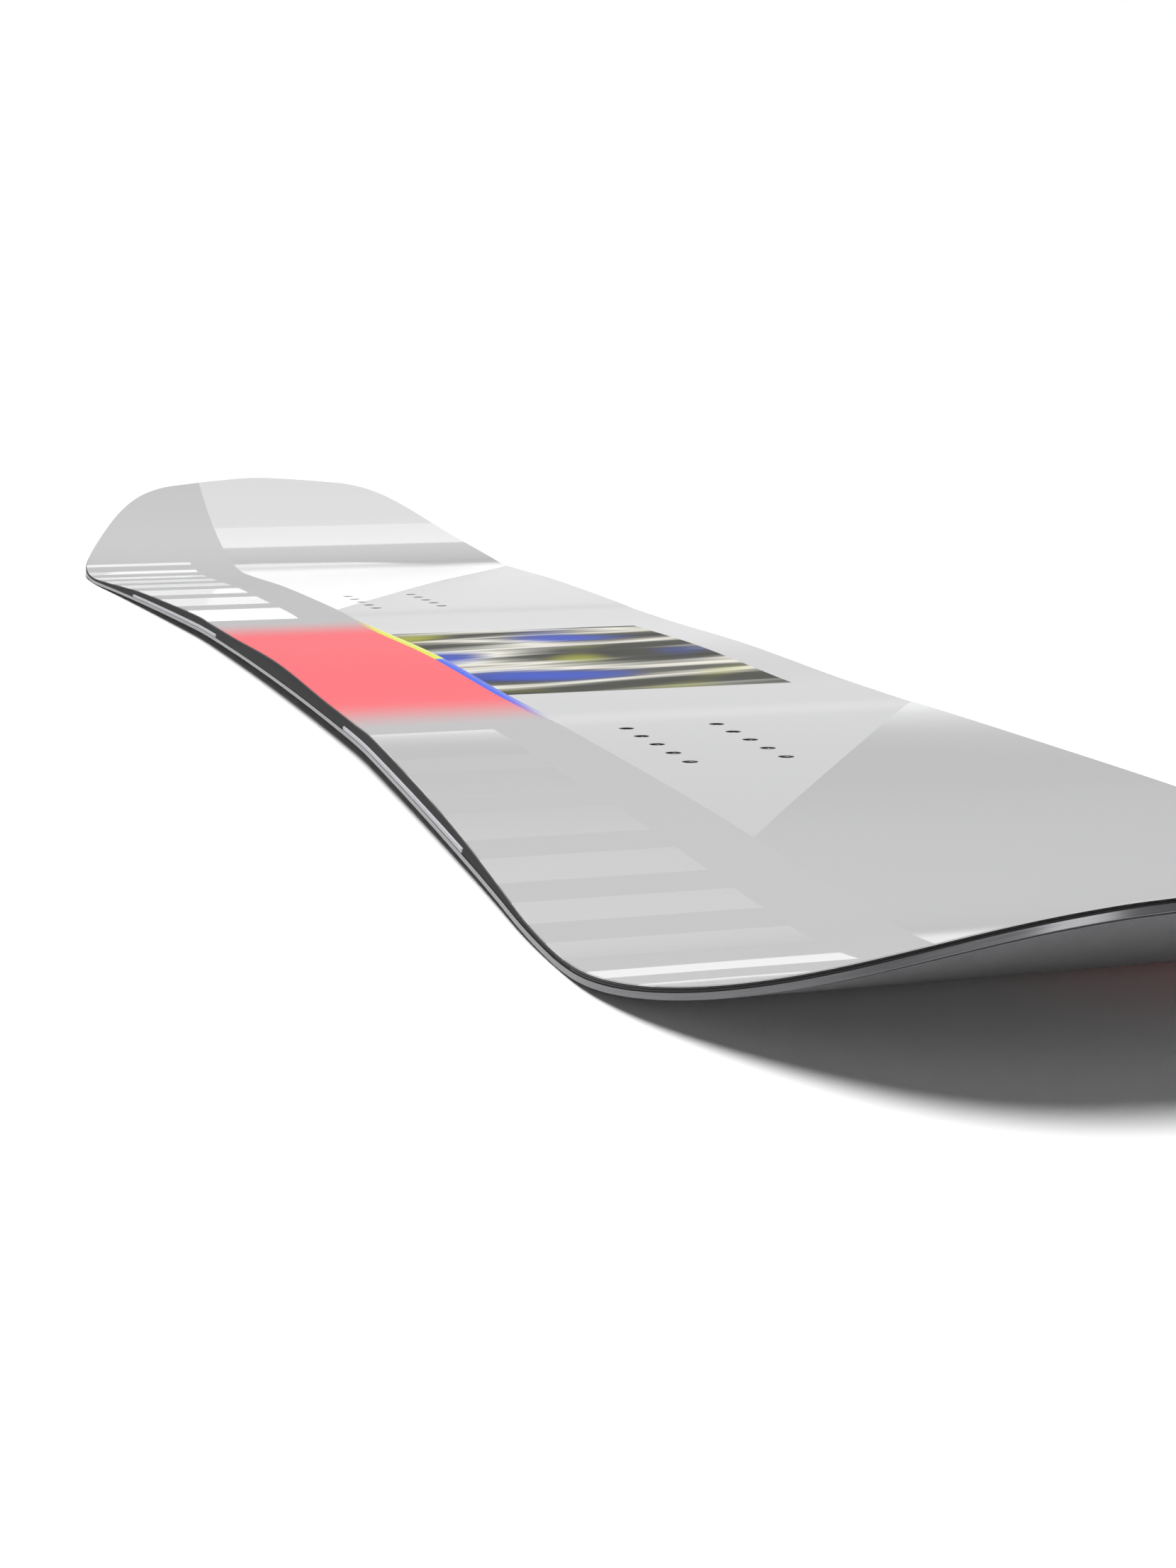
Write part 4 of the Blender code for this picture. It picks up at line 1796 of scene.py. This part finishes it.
@dataclass
class Inserts:
    """The twenty threaded steel inserts that take the binding screws."""

    pattern: InsertPattern
    bore_radius: float = 3 * MM
    wall: float = 1.5 * MM
    flange_lip: float = 2.5 * MM
    flange_thickness: float = 1.1 * MM
    bore_floor: float = 0.7 * MM
    ease: float = 0.15 * MM
    pitch: float = 1 * MM
    thread_depth: float = 0.5 * MM
    round_steps: int = 40
    rows_per_turn: int = 8
    # The thread's flanks stay smooth round the bore below this angle, in degrees
    crease: float = 30.0
    finish: TurnedStainless = field(default_factory=TurnedStainless)

    def shape(self) -> bmesh.types.BMesh:
        """One insert: a flanged barrel with a countersunk, tapped bore.

        Returns:
            Its closed shape, standing on the origin.
        """
        height, ease = self.pattern.height(), self.ease
        barrel = self.bore_radius + self.wall
        flange = barrel + self.flange_lip
        outside = (
            (flange - ease, 0.0),
            (flange, ease),
            (flange, self.flange_thickness - ease),
            (flange - ease, self.flange_thickness),
            (barrel, self.flange_thickness),
            (barrel, height - ease),
            (barrel - ease, height),
        )
        bm = bmesh.new()
        foot = bm.verts.new((0, 0, 0))
        previous: list[bmesh.types.BMVert] = []
        for radius, level in outside:
            ring = self.ring(bm, lambda _turn, r=radius: r, level)
            self.join(bm, previous or [foot] * self.round_steps, ring)
            previous = ring
        for level in self.bore_levels(height):
            ring = self.ring(bm, lambda turn, z=level: self.bore_at(turn, z, height), level)
            self.join(bm, previous, ring)
            previous = ring
        floor = bm.verts.new((0, 0, self.bore_floor))
        self.join(bm, previous, [floor] * self.round_steps)
        return bm

    def bore_levels(self, height: float) -> list[float]:
        """Heights of the bore's rings, from its mouth down to its floor."""
        count = math.ceil((height - self.bore_floor) / self.pitch * self.rows_per_turn)
        return [height + (self.bore_floor - height) * i / count for i in range(count + 1)]

    def bore_at(self, turn: float, level: float, height: float) -> float:
        """Radius of the bore.

        Args:
            turn: how far round the bore, from 0 to 1.
            level: the height in it.
            height: the height of its mouth.

        Returns:
            The radius there: a triangular thread that fades out at the countersink.
        """
        phase = (level / self.pitch - turn) % 1
        ridge = 1 - abs(2 * phase - 1)
        grown = min(1.0, (height - level) / self.pitch)
        return self.bore_radius - self.thread_depth * ridge * grown

    def ring(
        self, bm: bmesh.types.BMesh, radius: Callable[[float], float], level: float
    ) -> list[bmesh.types.BMVert]:
        """One ring of vertices.

        Args:
            bm: the shape that it goes into.
            radius: its radius for each share of a turn.
            level: its height.

        Returns:
            The vertices in order.
        """
        made = []
        for i in range(self.round_steps):
            turn = i / self.round_steps
            reach, angle = radius(turn), 2 * math.pi * turn
            made.append(bm.verts.new((reach * math.cos(angle), reach * math.sin(angle), level)))
        return made

    def join(
        self,
        bm: bmesh.types.BMesh,
        ring: Sequence[bmesh.types.BMVert],
        following: Sequence[bmesh.types.BMVert],
    ) -> None:
        """Faces between two rings, either of which may be one vertex repeated.

        Args:
            bm: the shape that they go into.
            ring: one ring's vertices.
            following: the next ring's.
        """
        for i in range(self.round_steps):
            j = (i + 1) % self.round_steps
            corners = dict.fromkeys((ring[i], ring[j], following[j], following[i]))
            bm.faces.new(list(corners))

    def build(self) -> None:
        """Makes the insert once and sets a copy in every hole."""
        template = finished_mesh("tapped_insert", self.shape(), self.crease)
        for name, matrix in self.pattern.placings().items():
            mesh = template.copy()
            mesh.transform(matrix)
            add_piece(name.replace("insert_", "tapped_insert_"), mesh, self.finish, "insert", name)
        bpy.data.meshes.remove(template)


# The studio


@dataclass(frozen=True)
class Softbox:
    """A rectangular softbox: even, soft, and out of the picture itself.

    Its tilt is how far it is tipped up from facing the floor, and its turn which way it then
    faces, both in degrees, the turn round Z from +Y. Its power is in watts.
    """

    name: str
    power: float
    size: tuple[float, float]
    place: tuple[float, float, float]
    tilt: float
    turn: float
    lights: bool = True
    mirrored: bool = True

    def hang(self) -> None:
        """Hangs it, to light the board, to be mirrored in its gloss, or both."""
        light = bpy.data.lights.new(self.name, "AREA")
        light.shape = "RECTANGLE"
        light.size, light.size_y = self.size
        light.energy = self.power
        lamp = placed(self.name, light)
        lamp.location = self.place
        lamp.rotation_euler = (math.radians(self.tilt), 0, math.radians(self.turn))
        lamp.visible_camera = False
        lamp.visible_diffuse = self.lights
        lamp.visible_glossy = self.mirrored


@dataclass
class Studio:
    """A white floor, a dome that is pale behind the tail, soft lights and the camera."""

    floor_reach: float = 60.0
    floor_cells: int = 8
    floor_drop: float = 0.3 * MM
    # The dome as the board mirrors it, and where its tones change, in degrees over the floor
    horizon: str = "#ffffff"
    haze: str = "#595959"
    upper: str = "#6e6e6e"
    horizon_top: float = 9.2
    haze_start: float = 10.6
    haze_end: float = 40.0
    # It is pale in full where a ray's X is below pale_end, and dusky above pale_start
    pale_end: float = -0.7
    pale_start: float = -0.35
    dusk: str = "#3a3a3a"
    key_strength: float = 3.87
    key_spread: float = 38.0
    key_tilt: float = 7.0
    key_height: float = 3.0
    # The back ones light the top and are mirrored in the tail half, the front ones and the
    # heel one are only mirrored, in the nose half and its rim, and the fill only lights
    softboxes: tuple[Softbox, ...] = (
        Softbox("back_softbox", 56.0, (8.0, 1.75), (-8.2, 2.1, 5.6), 54.5, -90.0),
        Softbox("back_card", 50.0, (8.0, 3.2), (-6.6, 1.6, 7.4), 39.5, -90.0),
        Softbox("front_softbox", 44.0, (2.6, 1.3), (4.0, -2.65, 2.8), 56.0, 52.0, lights=False),
        Softbox("front_card", 62.0, (9.0, 3.6), (5.3, -1.6, 3.1), 62.0, 74.0, lights=False),
        Softbox("heel_card", 24.0, (4.5, 2.0), (1.8, -3.77, 1.25), 73.0, 16.0, lights=False),
        Softbox("low_fill", 8.0, (2.0, 0.5), (2.1, 0.35, 0.26), 83.0, 90.0, mirrored=False),
    )
    # The camera, as it was solved from the inserts' holes in the photograph
    lens: float = 59.535
    sensor: float = 36.0
    clip: tuple[float, float] = (0.01, 200.0)
    camera_place: tuple[float, float, float] = (1.25757, -0.35062, 0.18009)
    right: tuple[float, float, float] = (0.294800, 0.955559, -0.000556)
    down: tuple[float, float, float] = (0.168465, -0.052546, -0.984306)
    ahead: tuple[float, float, float] = (-0.940592, 0.290080, -0.176469)
    table: TablePaint = field(default_factory=TablePaint)

    def build(self) -> None:
        """Sets up the floor, the light and the camera."""
        self.add_floor()
        self.add_dome()
        self.add_key()
        for softbox in self.softboxes:
            softbox.hang()
        self.add_camera()
        bpy.context.scene.view_settings.view_transform = "Standard"

    def add_floor(self) -> None:
        """Lays a wide floor just below the base's contact lines."""
        bm = bmesh.new()
        cells = self.floor_cells
        bmesh.ops.create_grid(bm, x_segments=cells, y_segments=cells, size=self.floor_reach)
        mesh = finished_mesh("studio_floor", bm)
        mesh.transform(Matrix.Translation((0, 0, -self.floor_drop)))
        mesh.materials.append(self.table.material())
        placed("studio_floor", mesh)

    def add_dome(self) -> None:
        """Makes the dome: plain white to the eye, and graded in what the board mirrors.

        There it is white at the horizon behind the tail, grey and paler above, and dim elsewhere.
        """
        world = bpy.data.worlds.new("studio_dome")
        world.use_nodes = True
        tree = world.node_tree
        tree.nodes.clear()
        way = add_node(tree, "TexCoord").outputs["Generated"]
        along, _across, rise = add_node(tree, "SeparateXYZ", {"Vector": way}).outputs
        heights = (self.horizon_top, self.haze_start, self.haze_end)
        top, start, end = (math.sin(math.radians(degrees)) for degrees in heights)
        tones = add_node(
            tree,
            "ValToRGB",
            {"Fac": rise},
            stops=(
                (0.0, srgb(self.horizon)),
                (top, srgb(self.horizon)),
                (start, srgb(self.haze)),
                (end, srgb(self.upper)),
            ),
        )
        front = add_node(
            tree,
            "MapRange",
            {"Value": along, "From Min": self.pale_end, "From Max": self.pale_start},
        )
        shade = layered(tree, tones.outputs[0], (srgb(self.dusk), front.outputs[0]))
        sky = add_node(tree, "Background", {"Color": shade})
        plain = add_node(tree, "Background", {"Color": srgb(self.horizon)})
        seen = add_node(tree, "LightPath").outputs["Is Camera Ray"]
        both = add_node(tree, "MixShader", {"Fac": seen, 1: sky.outputs[0], 2: plain.outputs[0]})
        add_node(tree, "OutputWorld", {"Surface": both.outputs[0]})
        bpy.context.scene.world = world

    def add_key(self) -> None:
        """Hangs the key light overhead, a little towards the nose. It makes no glare."""
        light = bpy.data.lights.new("overhead_key", "SUN")
        light.energy = self.key_strength
        light.angle = math.radians(self.key_spread)
        lamp = placed("overhead_key", light)
        lamp.location = (0, 0, self.key_height)
        lamp.rotation_euler = (0, math.radians(self.key_tilt), 0)
        lamp.visible_glossy = False

    def add_camera(self) -> None:
        """Sets the camera where the photograph was taken from."""
        data = bpy.data.cameras.new("camera")
        data.sensor_width = self.sensor
        data.lens = self.lens
        data.clip_start, data.clip_end = self.clip
        camera = placed("camera", data)
        across, up = Vector(self.right), -Vector(self.down)
        turn = Matrix((across, up, -Vector(self.ahead))).transposed().to_4x4()
        camera.matrix_world = Matrix.Translation(self.camera_place) @ turn
        bpy.context.scene.camera = camera


def main() -> None:
    """Builds the board piece by piece, then the studio."""
    logging.basicConfig(level=logging.INFO, format="%(name)s: %(message)s", stream=sys.stdout)
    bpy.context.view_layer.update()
    form = BoardForm()
    RunningBase(form).build()
    SteelEdges(form).build()
    Core().build()
    Sidewalls(form).build()
    TipFills(form).build()
    Inserts(InsertPattern(form)).build()
    Laminates(form).build()
    Topsheet(form).build()
    Studio().build()
    bpy.context.view_layer.update()


if __name__ == "__main__":
    main()
